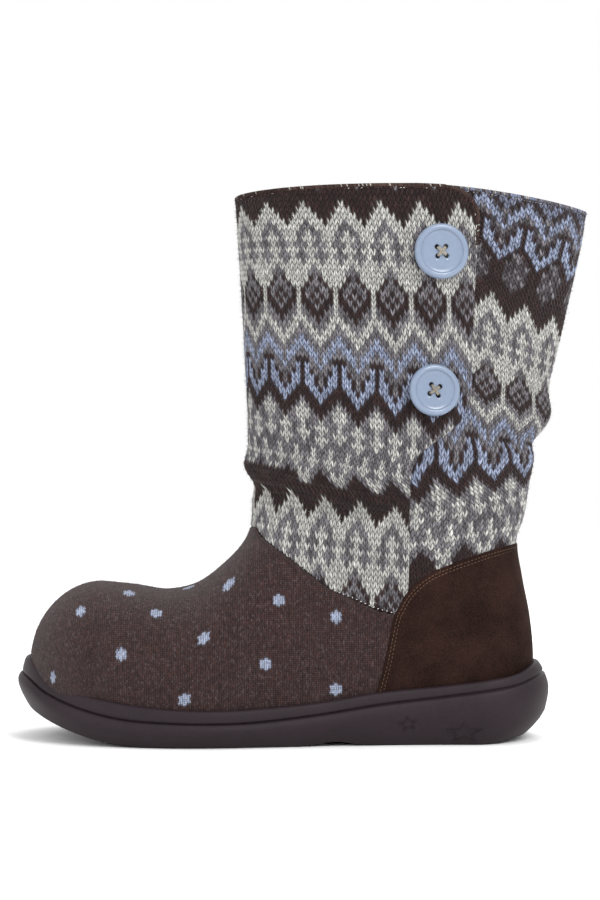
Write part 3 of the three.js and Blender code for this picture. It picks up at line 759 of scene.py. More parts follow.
# Place on the sheet of a wale and a row: level, and distance round
def panelPlace(panel, wale, row):
    wales = panel["wales"]
    arcA, arcB = roundTo(wales["xA"], wales["zA"]), roundTo(wales["xB"], wales["zB"])
    middle = np.zeros(len(arcA))
    if panel is backPanel:
        middle = shaftSheet["lengths"][shaftRow(wales["zA"]), backTurn]

    # distance from the panel's middle, eased over it
    def eased(arc, middle, soft=25.0):
        return np.hypot(arc - middle, soft)
    pitch = (arcB - arcA) / (wales["waleB"] - wales["waleA"])
    slope = (wales["zB"] - wales["zA"]) / (eased(arcB, middle) - eased(arcA, middle))
    # restated for wale zero, so that every row of the table reads alike
    start = arcA - pitch * wales["waleA"]
    height = wales["zA"] + slope * (eased(start, middle) - eased(arcA, middle))
    table = {"row": wales["row"], "start": start, "pitch": pitch, "slope": slope, "height": height,
             "middle": middle}
    at = readAll(table, "row", row[:, :1])
    arc = at["start"] + wale * at["pitch"]
    z = at["height"] + at["slope"] * (eased(arc, at["middle"]) - eased(at["start"], at["middle"]))
    # on the inner side the wales run true to the inner seam
    ahead = panel is frontPanel
    seam = roundTo(np.full(len(levels), innerSeam), levels, not ahead, ahead=ahead)
    even = np.mean(pitch)
    middleRow = np.argmin(np.abs(row[:, 0] - stitch["trueRow"]))
    last = (np.interp(z[middleRow, 0], levels, seam) - arc[middleRow, 0]) / even + wale[0, 0]
    true = np.interp(z, levels, seam) + (wale - last) * even
    start, end = panel["turnsTrue"]
    share = smooth((wale - start) / (end - start))
    return z, arc * (1 - share) + true * share


def makePanel(name, panel, lineOf, sideOf, liftOf, replaces):
    legs, rows = stitch["legSteps"], stitch["rowSteps"]
    across = (panel["lastWale"] - panel["firstWale"]) * 2 * legs
    along = (panel["lastRow"] - panel["firstRow"]) * rows
    mesh, i, j = gridMesh(name, across, along)
    wale, row = np.meshgrid(panel["firstWale"] - 0.5 + np.arange(across + 1) / (2 * legs),
                            panel["firstRow"] + np.arange(along + 1) / rows)
    # one in the middle of a wale, zero between wales
    centre = 1 - 2 * np.abs(wale - np.rint(wale))
    z, arc = panelPlace(panel, wale, row)
    # zigzag rows: each column of points reads the panel a little up or down
    z += np.gradient(z, axis=0) / np.gradient(row, axis=0) * stitch["slant"] * (2 * centre - 1)
    crown = np.sin(np.pi * np.mod(row - panel["firstRow"], 1)) ** stitch["round"]
    relief = stitch["relief"] * (stitch["flat"] + (1 - stitch["flat"]) * crown)
    relief = relief * np.array(stitch["ends"])[np.rint(2 * centre).astype(int)]
    z += rng.normal(0, stitch["wobble"], z.shape)
    arc += rng.normal(0, stitch["wobble"], arc.shape)
    keep = cutAlong(sideOf(onSheet(shaftSheet, z, arc)), (z, arc), 1)
    keep &= cutAlong(endMargin(onSheet(shaftSheet, z, arc)), (z, arc), 0)
    surface = onSheet(shaftSheet, z, arc, liftOf(onSheet(shaftSheet, z, arc), relief), True)
    midWale, midRow = layKnit(mesh, i, j, surface, wale, row, stitch["mapStart"])
    atRow, atWale = np.floor(midRow).astype(int), np.rint(midWale).astype(int)
    cell = lineOf(atRow, atWale), np.mod(atWale, 8)
    # each stitch, and each of its faces, is flecked by its own share
    each = rng.random((np.ptp(atRow) + 1, np.ptp(atWale) + 1))
    share = 0.5 * each[atRow - atRow.min(), atWale - atWale.min()] ** 2 + 0.5 * rng.random(len(atRow)) ** 2
    tints = chartColours[cell] + (chartFlecks[cell] - chartColours[cell]) * share[:, None]
    speckle = rng.normal(1, stitch["speckle"], (len(tints), 1)).clip(*stitch["speckleEnds"])
    setTint(mesh, tints * speckle, stitch["bleed"])
    removePoints(mesh, ~keep[j, i])
    return addPiece(name, mesh, shaftYarn, replaces)


# Height of the seam with the vamp ahead of the heel, and of the counter's top edge behind it
def lowerEdge(points, tuck=2.5):
    x = points[..., 0]
    return np.where(x < seamEnd, read(vampSeam, "x", x, "z"), read(counterEdge, "x", x, "z") - tuck)


def endMargin(points):
    return np.minimum(collarLine(points[..., 0]) - points[..., 2], points[..., 2] - lowerEdge(points))


# The flap lifts off between start and full, and from foot to free in height. Its edge and both panels' seams
# are creased, and the back panel is sunk a little under it.
flap = {"start": 58, "full": 76, "rise": 2.0, "foot": 128, "free": 140, "edge": 1.8, "low": 0.15, "under": 67,
        "edgeRelief": 0.25, "crease": 0.9, "frontCrease": 0.8, "backCrease": 0.7, "sunk": 0.6, "sunkOver": 4}


def flapRise(x):
    return flap["rise"] * smooth((x - flap["start"]) / (flap["full"] - flap["start"]))


def frontSide(points):
    outer = read(flapEdge, "z", points[..., 2], "x") - points[..., 0]
    return np.where(points[..., 1] < 0, outer, innerSeam - points[..., 0])


# The back panel ends under the flap, and below it at the side seam
def backSide(points):
    hidden = np.minimum(read(flapEdge, "z", points[..., 2], "x"), flap["under"])
    return points[..., 0] - np.where(points[..., 1] < 0, hidden, innerSeam)


# Soft folds of the knit on the outer side: lines in x and z, height (below zero for a trough) and half width
folds = [
    {"line": [(2, 134.5), (12, 131), (30, 127.5), (50, 124), (60, 122)], "rise": -1.4, "width": 2.0},
    {"line": [(-4, 134), (12, 127), (33, 122), (54, 118.5)], "rise": 0.9, "width": 3.2},
    {"line": [(-6, 127.5), (4, 125.5), (12, 123)], "rise": -0.9, "width": 2.0},
    {"line": [(130, 161), (117, 162.6), (101, 166)], "rise": 0.7, "width": 5.0},
    {"line": [(127, 152.5), (114, 150.4), (101, 152.2)], "rise": -0.9, "width": 3.5},
    {"line": [(66, 118), (80, 121), (96, 120)], "rise": -0.5, "width": 5.0},
    {"line": [(20, 100), (34, 95), (50, 92)], "rise": -0.4, "width": 5.0},
]


def foldLift(points):
    x, z = points[..., 0], points[..., 2]
    total = np.zeros_like(x)
    for fold in folds:
        nearest = np.full_like(x, 1e9)
        for (xA, zA), (xB, zB) in zip(fold["line"], fold["line"][1:]):
            goX, goZ = xB - xA, zB - zA
            t = np.clip(((x - xA) * goX + (z - zA) * goZ) / (goX ** 2 + goZ ** 2), 0, 1)
            nearest = np.minimum(nearest, np.hypot(x - xA - goX * t, z - zA - goZ * t))
        total += fold["rise"] * np.exp(-(nearest / fold["width"]) ** 2)
    return total * (points[..., 1] < 0)


def frontLift(points, relief):
    x, z = points[..., 0], points[..., 2]
    outer = points[..., 1] < 0
    rise = flapRise(x) * smooth((z - flap["foot"]) / (flap["free"] - flap["foot"])) * outer
    edge, above, below = (read(flapEdge, "z", z + step, "x") for step in (0, 0.5, -0.5))
    away = np.maximum(np.where(outer, edge - x, innerSeam - x), 0) / np.sqrt(1 + (above - below) ** 2)
    roll = rolled(away, flap["edge"])
    body = (stitch["lift"] + rise) * roll + flap["low"] * (1 - roll)
    crease = flap["frontCrease"] * np.exp(-(np.maximum(endMargin(points), 0) / flap["crease"]) ** 2)
    return body - crease + relief * (flap["edgeRelief"] + (1 - flap["edgeRelief"]) * roll) + foldLift(points)


def backLift(points, relief):
    crease = flap["backCrease"] * np.exp(-(np.maximum(backSide(points), 0) / flap["crease"]) ** 2)
    covered = (points[..., 1] < 0) & (points[..., 2] > flap["foot"])
    sunk = flap["sunk"] * smooth((flap["full"] - points[..., 0]) / flap["sunkOver"]) * covered
    return stitch["lift"] - crease - sunk + relief + foldLift(points)


frontKnit = makePanel("knit_front_panel", frontPanel, frontLine, frontSide, frontLift,
                      ["upper", "front_flap"])
backKnit = makePanel("knit_back_panel", backPanel, backLine, backSide, backLift, ["upper"])

# Vamp: fine jersey with its wales across the foot, and small six-lobed dots knitted in
jersey = {"wale": 1.1, "row": 1.0, "slant": 0.4, "lift": 0.75, "sunk": -0.5, "from": -104, "to": 150,
          "half": 118, "wobble": 0.06, "round": 1.2, "tuck": 1.2, "under": 5, "above": 2, "farthest": -6,
          "yarn": "3e2c2b", "mix": 0.28, "mixEnds": (-0.4, 0.5), "dot": "a6afc6", "bleed": 0.35,
          "greyFleck": "57494b", "greyBelow": 0.09, "rustFleck": "4d322b", "rustAbove": 0.95}
dot = {"radius": 2.85, "lobe": 0.5, "lobes": 6}
dotPlaces = [
    (-16, 34.5), (8.5, 21.5), (23, 36), (6.5, 59.5), (-46, 56), (37.5, 81), (47, 54), (59, 32.5), (83.5, 50),
    (77, 81), (111.5, 94), (111.5, 58.5), (-31, 4), (-12, -16), (14, -5), (38, 10), (32, -24), (57, -8),
    (62, -38), (86, -26), (-30, -44), (-4, -46), (20, -62), (46, -66), (72, -62), (92, -84), (54, -92),
    (112, -58), (2, -84), (-44, -20),
]


def seamMargin(points):
    x = points[..., 0]
    tuck = np.where(x < seamTop, jersey["tuck"], 0.0)
    return np.maximum(read(vampSeam, "x", x, "z") + tuck - points[..., 2], jersey["farthest"])


def makeVamp():
    wales = int((jersey["to"] - jersey["from"]) / jersey["wale"])
    rows = int(2 * jersey["half"] / jersey["row"])
    mesh, i, j = gridMesh("vamp", 2 * wales, rows)
    wale, row = np.meshgrid(np.arange(2 * wales + 1) / 2, np.arange(rows + 1.0))
    centre = np.mod(np.rint(2 * wale), 2)
    along = jersey["from"] + wale * jersey["wale"]
    across = -jersey["half"] + (row + jersey["slant"] * (centre - 0.5)) * jersey["row"]
    keep = cutAlong(seamMargin(onFoot(along, across)[0]), (along, across), 0)
    keep &= cutAlong(seamMargin(onFoot(along, across)[0]), (along, across), 1)
    points = onFoot(along, across)[0]
    rim = read(soleRows, "x", points[..., 0], "rim")
    keep &= (points[..., 2] > rim - jersey["under"]) & (points[..., 2] < vampSeam["z"][0] + jersey["above"])
    roll = rolled(np.maximum(seamMargin(points), 0), jersey["round"])
    along = along + rng.normal(0, jersey["wobble"], along.shape)
    across = across + rng.normal(0, jersey["wobble"], across.shape)
    surface = onFoot(along, across, jersey["lift"] * roll + jersey["sunk"] * (1 - roll))
    midWale, midRow = layKnit(mesh, i, j, surface, wale, row, 0)
    midAlong = jersey["from"] + midWale * jersey["wale"]
    midAcross = -jersey["half"] + midRow * jersey["row"]
    # faces of the plain yarn, some of them grey or rust
    luck = rng.random(len(midAlong))[:, None]
    mix = 1 + rng.normal(0, jersey["mix"], luck.shape).clip(*jersey["mixEnds"])
    tints = np.array(colour(jersey["yarn"])) * mix
    tints = np.where(luck < jersey["greyBelow"], colour(jersey["greyFleck"]), tints)
    tints = np.where(luck > jersey["rustAbove"], colour(jersey["rustFleck"]), tints)
    for u, v in dotPlaces:
        angle = np.arctan2(midAlong - u, midAcross - v)
        radius = dot["radius"] + dot["lobe"] * np.cos(dot["lobes"] * angle)
        tints[np.hypot(midAlong - u, midAcross - v) < radius] = colour(jersey["dot"])
    setTint(mesh, tints, jersey["bleed"])
    removePoints(mesh, ~keep[j, i])
    return addPiece("vamp", mesh, vampYarn, ["upper"])


vamp = makeVamp()

# Suede counter round the heel: columns from the sole up to its edge, front to back to front
counter = {"lift": 1.5, "low": 0.2, "round": 1.1, "around": 260, "up": 60, "under": 4.0, "crowd": 1.6,
           "from": 45.2, "bend": 57, "back": 118.6}


# The counter's edge at even distances: turn about the axis, and height
def counterCurve(count):
    x = np.concatenate([np.linspace(counter["from"], counter["bend"], 60),
                        np.linspace(counter["bend"], counter["back"], 90)[1:]])
    z = read(counterEdge, "x", x, "z")
    outer, inner = roundTo(x, z, turned=True), roundTo(x, z, inner=True, turned=True)
    turn = np.concatenate([outer, [180], inner[::-1]])
    height = np.concatenate([z, [z[-1]], z[::-1]])
    length = lengthsOf(onSheet(turnSheet, height, turn))
    at = np.linspace(0, length[-1], count)
    return np.interp(at, length, turn), np.interp(at, length, height)


def makeCounter():
    mesh, i, j = gridMesh("heel_counter", counter["around"], counter["up"])
    turn, top = counterCurve(counter["around"] + 1)
    share = 1 - (1 - np.linspace(0, 1, counter["up"] + 1)) ** counter["crowd"]
    edge = onSheet(turnSheet, top, turn)
    bottom = read(soleRows, "x", edge[:, 0], "rim") - counter["under"]
    z = bottom + (np.maximum(top, bottom + 0.2) - bottom) * share[:, None]
    z = np.minimum(z, np.maximum(top, bottom))
    flat = np.hypot(np.gradient(edge[:, 0]), np.gradient(edge[:, 1]))
    steep = np.gradient(top) / np.maximum(flat, 1e-3)
    roll = rolled((top - z) / np.sqrt(1 + steep ** 2), counter["round"])
    lift = counter["low"] + (counter["lift"] - counter["low"]) * roll
    layGrid(mesh, i, j, *onSheet(turnSheet, z, np.broadcast_to(turn, z.shape), lift, True))
    addPiece("heel_counter_suede", mesh, suede, ["heel_counter"])


makeCounter()

# Sole: wall, groove, rim band and tread
soleShape = {
    "length": 270, "toeEnd": -135, "heelEnd": 135, "toeRound": 50, "heelRound": 38, "endCurve": 2.1,
    "lean": 0.12, "around": 480, "treadRings": 40, "spine": (-90, 100),
}
spring = {"start": -70, "rise": 19, "curve": 1.7}
heelLift = {"start": 98, "rise": 6, "curve": 2}
arch = {"from": 8, "to": 44, "rise": 2}
# rows of slots: x of the first, distance to the next, and how many
tread = {"depth": 2, "width": 3.4, "margin": 15, "edge": 0.4, "fade": 0.9,
         "rows": ((-92, 14, 6), (46, 14, 4))}
# How far inside the plan, and share of the way up: on the wall from the floor to the groove, and on the band
# from the groove to the rim
wallRows = [
    (7.0, 0.0), (5.4, 0.02), (4.3, 0.1), (3.2, 0.2), (1.9, 0.32), (0.9, 0.45), (0.2, 0.58), (0.0, 0.7),
    (0.2, 0.8), (0.7, 0.88), (1.1, 0.93), (1.5, 0.955), (2.1, 0.97), (3.0, 0.98), (3.1, 1.0),
]
bandRows = [
    (2.5, 0.03), (2.1, 0.08), (2.0, 0.18), (2.1, 0.35), (2.4, 0.55), (2.7, 0.75), (3.1, 0.87), (3.7, 0.96),
    (4.6, 1.0), (5.6, 0.99), (6.6, 0.9), (8.0, 0.6), (10.0, 0.2),
]
# Lean of the sides round the heel and toe: how far, from which x and over what length. The band has a share
# of it at its foot and gains more, the wall has its own towards its top, and it rounds under the heel.
soleLean = {"heel": (2.6, 108, 26), "toe": (0.9, 114, 20), "band": (0.3, 0.8), "wall": (0.3, 0.62, 0.38),
            "under": (6, 96, 30), "underShare": 0.3, "underCurve": 1.5}


def planAt(x):
    shape = soleShape
    toe = np.maximum(0, (shape["toeEnd"] + shape["toeRound"] - x) / shape["toeRound"])
    heel = np.maximum(0, (x - shape["heelEnd"] + shape["heelRound"]) / shape["heelRound"])
    close = (np.sqrt(np.maximum(0, 1 - toe ** shape["endCurve"]))
             * np.sqrt(np.maximum(0, 1 - heel ** shape["endCurve"])))
    row = readAll(outlineRows, "x", x)
    return row["centreY"] - row["outer"] * close, row["centreY"] + row["inner"] * close


# Points of the sole's plan and the directions out of it
def planRing(count):
    angle = 2 * np.pi * np.arange(count) / count
    lean = np.clip(np.cos(angle) * (1 + soleShape["lean"] * np.sin(angle) ** 2), -1, 1)
    x = lean * soleShape["length"] / 2
    outer, inner = planAt(x)
    ring = np.stack([x, np.where(np.sin(angle) < 0, outer, inner)], axis=-1)
    along = unit(np.roll(ring, -1, axis=0) - np.roll(ring, 1, axis=0))
    return ring, np.stack([along[:, 1], -along[:, 0]], axis=-1)


def floorHeight(x):
    toe = np.maximum(0, (spring["start"] - x) / (spring["start"] - soleShape["toeEnd"]))
    heel = np.maximum(0, (x - heelLift["start"]) / (soleShape["heelEnd"] - heelLift["start"]))
    across = np.clip((x - arch["from"]) / (arch["to"] - arch["from"]), 0, 1)
    ends = spring["rise"] * toe ** spring["curve"] + heelLift["rise"] * heel ** heelLift["curve"]
    return ends + arch["rise"] * np.sin(np.pi * across) ** 2


def slotDepth(x, y):
    depth = np.zeros_like(x)
    for start, step, count in tread["rows"]:
        for at in start + step * np.arange(count):
            outer, inner = planAt(at)
            reach = (inner - outer) / 2 - tread["margin"]
            beyond = np.maximum(0, np.abs(y - (inner + outer) / 2) - reach)
            inside = tread["width"] / 2 - np.hypot(x - at, beyond)
            depth = np.maximum(depth, smooth((inside + tread["edge"]) / tread["fade"]) * tread["depth"])
    return depth


def leaning(x, row):
    most, start, span = row
    return most * smooth((x - start) / span)


# Points at one row of the wall or of the band
def wallPoint(ring, outs, banded, inset, share):
    x = ring[:, 0]
    lean = leaning(x, soleLean["heel"]) + leaning(-x, soleLean["toe"])
    foot, gain = soleLean["band"]
    inset = inset + lean * (foot + gain * share if banded else leaning(share, soleLean["wall"]))
    if not banded:
        under = max(0, 1 - share / soleLean["underShare"]) ** soleLean["underCurve"]
        inset = inset + under * leaning(x, soleLean["under"])
    x, y = (ring - outs * inset[:, None]).T
    groove = read(soleRows, "x", x, "groove")
    low, high = (groove, read(soleRows, "x", x, "rim")) if banded else (floorHeight(x), groove)
    return np.stack([x, y, low + (high - low) * share], axis=-1)


def makeSole():
    count = soleShape["around"]
    ring, outs = planRing(count)
    profile = [wallPoint(ring, outs, banded, *row) for banded in (False, True)
               for row in (bandRows if banded else wallRows)]
    edge = profile[0][:, :2]
    spine = np.stack([np.clip(edge[:, 0], *soleShape["spine"]),
                      np.interp(edge[:, 0], outlineRows["x"], outlineRows["centreY"])], axis=-1)
    under = []
    for share in np.linspace(0, 1, soleShape["treadRings"] + 1)[:-1]:
        x, y = (spine + (edge - spine) * share).T
        under.append(np.stack([x, y, floorHeight(x) + slotDepth(x, y)], axis=-1))
    rings = np.array(under + profile)
    mesh, i, j = gridMesh("sole", count, len(rings) - 1)
    setPoints(mesh, rings[j, i % count])
    mesh = joinMeshes("sole", [mesh], 0.02)
    heights = [polygon.normal.z for polygon in mesh.polygons if polygon.center.z < 1 * mm]
    if np.mean(heights) > 0:
        mesh.flip_normals()
    addPiece("sole_unit", mesh, rubber, ["sole"])


makeSole()
print("sole ready")

# Lining of the shaft and foot, with its faces looking in
liner = {"lift": -2.2, "below": 0.6, "around": 180, "up": 84, "foot": 18.0}


def makeLining():
    mesh, i, j = gridMesh("lining", liner["around"], liner["up"])
    turn = np.linspace(-180, 180, liner["around"] + 1)
    top = collarTop(turn, liner["below"])
    z = liner["foot"] + (top - liner["foot"]) * np.linspace(0, 1, liner["up"] + 1)[:, None]
    points, outs = onSheet(turnSheet, z, np.broadcast_to(turn, z.shape), liner["lift"], True)
    layGrid(mesh, i, j, points, -outs)
    addPiece("lining", joinMeshes("lining", [mesh], 0.01, closed=False), lining)


makeLining()


# A template set down many times as one mesh; each frame holds its three axes and its place
def repeatMesh(name, template, frames, tints=None):
    bm = bmesh.new()
    for _ in range(len(frames)):
        bm.from_mesh(template)
    mesh = takeMesh(name, bm)
    shape = numbers(template.vertices, "co", 3)
    points = frames[:, 3][:, None] + np.einsum("vk,fkd->fvd", shape, frames[:, :3])
    setPoints(mesh, points.reshape(-1, 3))
    if tints is not None:
        setColours(mesh, np.repeat(tints, len(template.loops), axis=0))
    return mesh


# Small shapes along X: a round bead, and a spike that starts at zero
def makeTemplates():
    lying = Matrix.Rotation(math.pi / 2, 4, "Y")
    ball, cone = bmesh.new(), bmesh.new()
    bmesh.ops.create_uvsphere(ball, u_segments=6, v_segments=5, radius=1, matrix=lying)
    bmesh.ops.create_cone(cone, cap_ends=True, segments=3, radius1=1, radius2=0, depth=1,
                          matrix=lying @ Matrix.Translation((0, 0, 0.5)))
    return takeMesh("bead", ball), takeMesh("spike", cone)


bead, spike = makeTemplates()


# Axes of small shapes from their places, directions along them and directions out of the surface
def beadFrames(places, along, outs, size):
    along = unit(along)
    across = unit(np.cross(outs, along))
    out = np.cross(along, across)
    size = np.broadcast_to(np.asarray(size, float), (len(places), 3))
    return np.stack([along * size[:, :1], across * size[:, 1:2], out * size[:, 2:], places], axis=1)


# A line on the surface: points, directions along it, out of the surface and down from it on its face
def trace(points, outs):
    along = unit(np.gradient(points, axis=0))
    inwards = unit(np.cross(outs, along))
    if inwards[len(points) // 2, 2] > 0:
        inwards = -inwards
    return {"points": points, "outs": outs, "along": along, "inwards": inwards}


# Beads sewn along a line as one piece
def addDashes(name, line, looks, material, tints=None):
    length = lengthsOf(line["points"])
    at = np.arange(looks.get("start", 0.0), length[-1], looks["gap"])
    spots = {key: resample(values, length, at) for key, values in line.items()}
    places = spots["points"] + spots["inwards"] * looks["inset"] + spots["outs"] * looks["lift"]
    along = spots["along"] + spots["inwards"] * looks.get("slant", 0.0)
    along = along + rng.normal(0, looks.get("wobble", 0.06), along.shape)
    frames = beadFrames(places, along, spots["outs"], looks["size"])
    mesh = repeatMesh(name, bead, frames, tints(spots["points"]) if tints else None)
    addPiece(name, mesh, material)


# Loose fibres of the wool: slim spikes that lie this way and that, in the colour of the yarn they come from,
# lightened as a painted sheen
fuzz = {
    "shaft": {"count": 17000, "length": (1.0, 3.0), "thick": 0.06, "stand": 0.9, "light": 1.3},
    "foot": {"count": 18000, "length": (0.5, 1.6), "thick": 0.045, "stand": 0.7, "light": 1.5},
}


def addFuzz(piece, looks):
    mesh, name = piece.data, piece.name + "_fuzz"
    chosen = rng.integers(0, len(mesh.polygons), looks["count"])
    outs = numbers(mesh.polygons, "normal", 3)[chosen]
    places = numbers(mesh.polygons, "center", 3)[chosen] / mm
    along = unit(np.cross(outs, rng.normal(0, 1, outs.shape)))
    along += outs * looks["stand"] * rng.random((len(outs), 1))
    size = np.full((len(outs), 3), looks["thick"])
    size[:, 0] = rng.uniform(*looks["length"], len(outs))
    corner = numbers(mesh.polygons, "loop_start", kind=int)[chosen]
    # the yarn's colour made lighter: a painted sheen on the loose fibres
    tints = numbers(mesh.color_attributes["yarn"].data, "color", 4)[corner, :3] * looks["light"]
    addPiece(name, repeatMesh(name, spike, beadFrames(places, along, outs, size), tints), edgeYarn)


for piece, looks in ((frontKnit, fuzz["shaft"]), (backKnit, fuzz["shaft"]), (vamp, fuzz["foot"])):
    addFuzz(piece, looks)
print("fuzz ready")

# Two rows of stitching inside the counter's edge
counterStitch = {"gap": 2.0, "lift": 1.46, "size": (0.7, 0.2, 0.2)}


def stitchCounter():
    turn, height = counterCurve(700)
    line = trace(*onSheet(turnSheet, height, turn, 0.0, True))
    for row, inset, start in (("a", 1.8, 0.0), ("b", 3.3, 1.2)):
        looks = {**counterStitch, "inset": inset, "start": start}
        addDashes("counter_stitch_" + row, line, looks, threads["amber"])


stitchCounter()

# Seam between vamp and shaft: sewn row on the vamp, and pale thread showing at the edge of the knit
seam = {"from": -12.3, "outer": 55, "inner": 46, "count": 300, "paleFrom": 170}
seamStitch = {"gap": 2.1, "inset": 1.5, "lift": 0.72, "size": (0.85, 0.3, 0.22)}
seamFleck = {"gap": 2.3, "inset": -0.5, "lift": 0.5, "size": (0.5, 0.22, 0.2), "wobble": 0.5}


def stitchSeam(side):
    x = np.linspace(seam["from"], seam[side], seam["count"])
    z = read(vampSeam, "x", x, "z")
    inner = side == "inner"
    turn = roundTo(x, z, inner, True) - (360 if inner else 0)
    line = trace(*onSheet(turnSheet, z, turn, 0.0, True))
    addDashes("vamp_stitch_" + side, line, seamStitch, threads["dark"])
    lower = {name: values[seam["paleFrom"]:] for name, values in line.items()}
    addDashes("vamp_fleck_" + side, lower, seamFleck, threads["pale"])


stitchSeam("outer")
stitchSeam("inner")

# Overlocked edge: a soft band over the collar that turns down the flap's free corner
edging = {"steps": 900, "start": (66, 275), "corner": 78.5, "top": 275.5, "bend": 268, "end": 246,
          "thick": 0.35, "flapWall": 2.0, "flapRoot": 0.7, "inside": 0.3, "outerRows": 5, "closest": 0.05,
          "greyFrom": 86, "dim": (("rust", 0.7), ("grey", 0.6)), "stride": 6}
edgeColours = {"rust": "44342f", "dark": "2b1f1d", "pale": "9a9791", "grey": "625f66", "blue": "747e98"}
# colours of the brown and of the grey part, and where the share of each but the last ends
edgeMixes = [(np.array([colour(edgeColours[name]) for name in names.split()]), ends)
             for names, ends in (("rust dark pale", (0.5, 0.93)), ("grey blue pale dark", (0.4, 0.62, 0.75)))]
# depth down the band, share of the way through the wall, and how much it stands out
edgeProfile = [(1.8, 0, -0.15), (1.5, 0, 0.15), (0.9, 0, 0.25), (0.4, 0, 0.15), (0.0, 0, -0.2),
               (-0.15, 0.5, 0), (0.0, 1, 0.2), (0.5, 1, 0.0), (1.3, 1, -0.1), (2.2, 1, 0.0)]
edgeLoops = {"gap": 0.95, "inset": 0.75, "lift": 0.45, "size": (0.85, 0.36, 0.28), "wobble": 0.2,
             "slant": 2.2}
hemStitch = {"gap": 1.6, "inset": 2.3, "lift": 0.42, "size": (0.55, 0.22, 0.22), "wobble": 0.15}


# From under the flap round the back and the inner side to the front, then round the flap's corner and down
# its edge
def collarPath():
    turn = np.linspace(-180, 180, 721)
    top = collarTop(turn)
    x = onSheet(turnSheet, top, turn)[:, 0]
    first = roundTo(*np.array(edging["start"], float)[:, None], turned=True)[0]
    behind = turn > first
    front = ~behind & ~((turn > 0) & (x > edging["corner"]))
    z = np.concatenate([np.linspace(edging["top"], edging["bend"], 40),
                        np.linspace(edging["bend"], edging["end"], 50)[1:]])
    down = roundTo(read(flapEdge, "z", z, "x"), z, turned=True)
    reach = down > turn[front][-1]
    path = np.concatenate([turn[behind], turn[front], down[reach]])
    return np.mod(path + 180, 360) - 180, np.concatenate([top[behind], top[front], z[reach]])


def makeEdging():
    turn, top = collarPath()
    points, outs = onSheet(turnSheet, top, turn, 0.0, True)
    keep = np.append(True, np.linalg.norm(np.diff(points, axis=0), axis=1) > edging["closest"])
    length = lengthsOf(points[keep])
    at = np.linspace(0, length[-1], edging["steps"] + 1)
    points, outs = resample(points[keep], length, at), unit(resample(outs[keep], length, at))
    line = trace(points, outs)
    onFlap = (np.arange(len(at)) > len(at) // 2) & (points[:, 1] < 0)
    rise = flapRise(points[:, 0]) * onFlap
    outer = stitch["lift"] + rise + edging["thick"]
    flapInner = outer - edging["flapWall"] - edging["flapRoot"] * (1 - rise / flap["rise"])
    inner = np.where(rise > 0.1, flapInner, liner["lift"] - edging["inside"])
    rings = []
    for depth, share, more in edgeProfile:
        lift = outer + (inner - outer) * share + more
        rings.append(points + line["inwards"] * depth + outs * lift[:, None])
    mesh, i, j = gridMesh("edging", edging["steps"], len(edgeProfile) - 1)
    setPoints(mesh, np.array(rings)[j, i])
    faceOut(mesh, outs[i] * np.where(j < edging["outerRows"], 1, -1)[:, None])
    grey = (points[:, 0] > edging["greyFrom"]) | ((points[:, 1] > 0) & (points[:, 0] > innerSeam))
    grey &= ~onFlap
    brownTint, greyTint = (np.array(colour(edgeColours[name])) * share for name, share in edging["dim"])
    faces = cornerPoints(mesh).reshape(-1, 4)
    setTint(mesh, np.where(grey[:, None], greyTint, brownTint)[i[faces].min(axis=1)])
    addPiece("collar_edging", mesh, edgeYarn)
    line["points"] = points + outs * (outer - edging["thick"])[:, None]
    return line, grey


def dressCollar():
    line, grey = makeEdging()
    stride = edging["stride"]

    def tints(places):
        away = np.linalg.norm(places[:, None] - line["points"][None, ::stride], axis=-1)
        near = np.argmin(away, axis=1) * stride
        luck = rng.random(len(places))
        brown, other = (mixed[np.searchsorted(ends, luck, "right")] for mixed, ends in edgeMixes)
        return np.where(grey[near, None], other, brown)
    addDashes("collar_loops", line, edgeLoops, edgeYarn, tints)
    addDashes("collar_hem", line, hemStitch, edgeYarn, tints)


dressCollar()

# Buttons: a turned dish with a raised rim and four bored holes, sewn on with a cross of thread
buttons = [
    {"name": "button_upper", "x": 77, "z": 242.5, "radius": 13.6, "turn": 4},
    {"name": "button_lower", "x": 73.5, "z": 174.5, "radius": 12.8, "turn": -12},
]
buttonShape = {"off": 3.3, "hole": 1.25, "holeSides": 20, "bore": 8, "boreMiddle": 2, "square": 2.2,
               "around": 72}
# distance from the edge or share of the radius, then height from the back face
buttonEdge = [(2.0, 0.0), (0.8, 0.25), (0.15, 1.1), (0.0, 1.9), (0.25, 2.9), (0.9, 3.65), (1.7, 3.98),
              (2.5, 3.9), (2.95, 3.5), (3.2, 2.9), (3.6, 2.65)]
buttonMiddle = [(0.6, 2.6), (0.4, 2.5), (0.2, 2.46), (0.0, 2.45)]
# strands of the cross, from hole to hole and down into them
strands = {"radius": 0.32, "spread": 0.55, "top": 0.75, "deep": 2.2, "along": 22, "around": 8, "over": 0.32,
           "straight": 0.62, "curve": 1.6, "reach": 0.98, "pinch": 0.45, "sag": 0.12}


def buttonFrame(settings):
    place = castOut(np.array([settings["x"], 0.0, settings["z"]]), np.array([0.0, -1.0, 0.0]))
    out = outward(place)
    up = unit(np.array([0, 0, 1.0]) - out * out[2])
    along = np.cross(up, out)
    turn = math.radians(settings["turn"])
    side = along * math.cos(turn) + up * math.sin(turn)
    return np.array([side, np.cross(out, side), out]), place + out * buttonShape["off"]


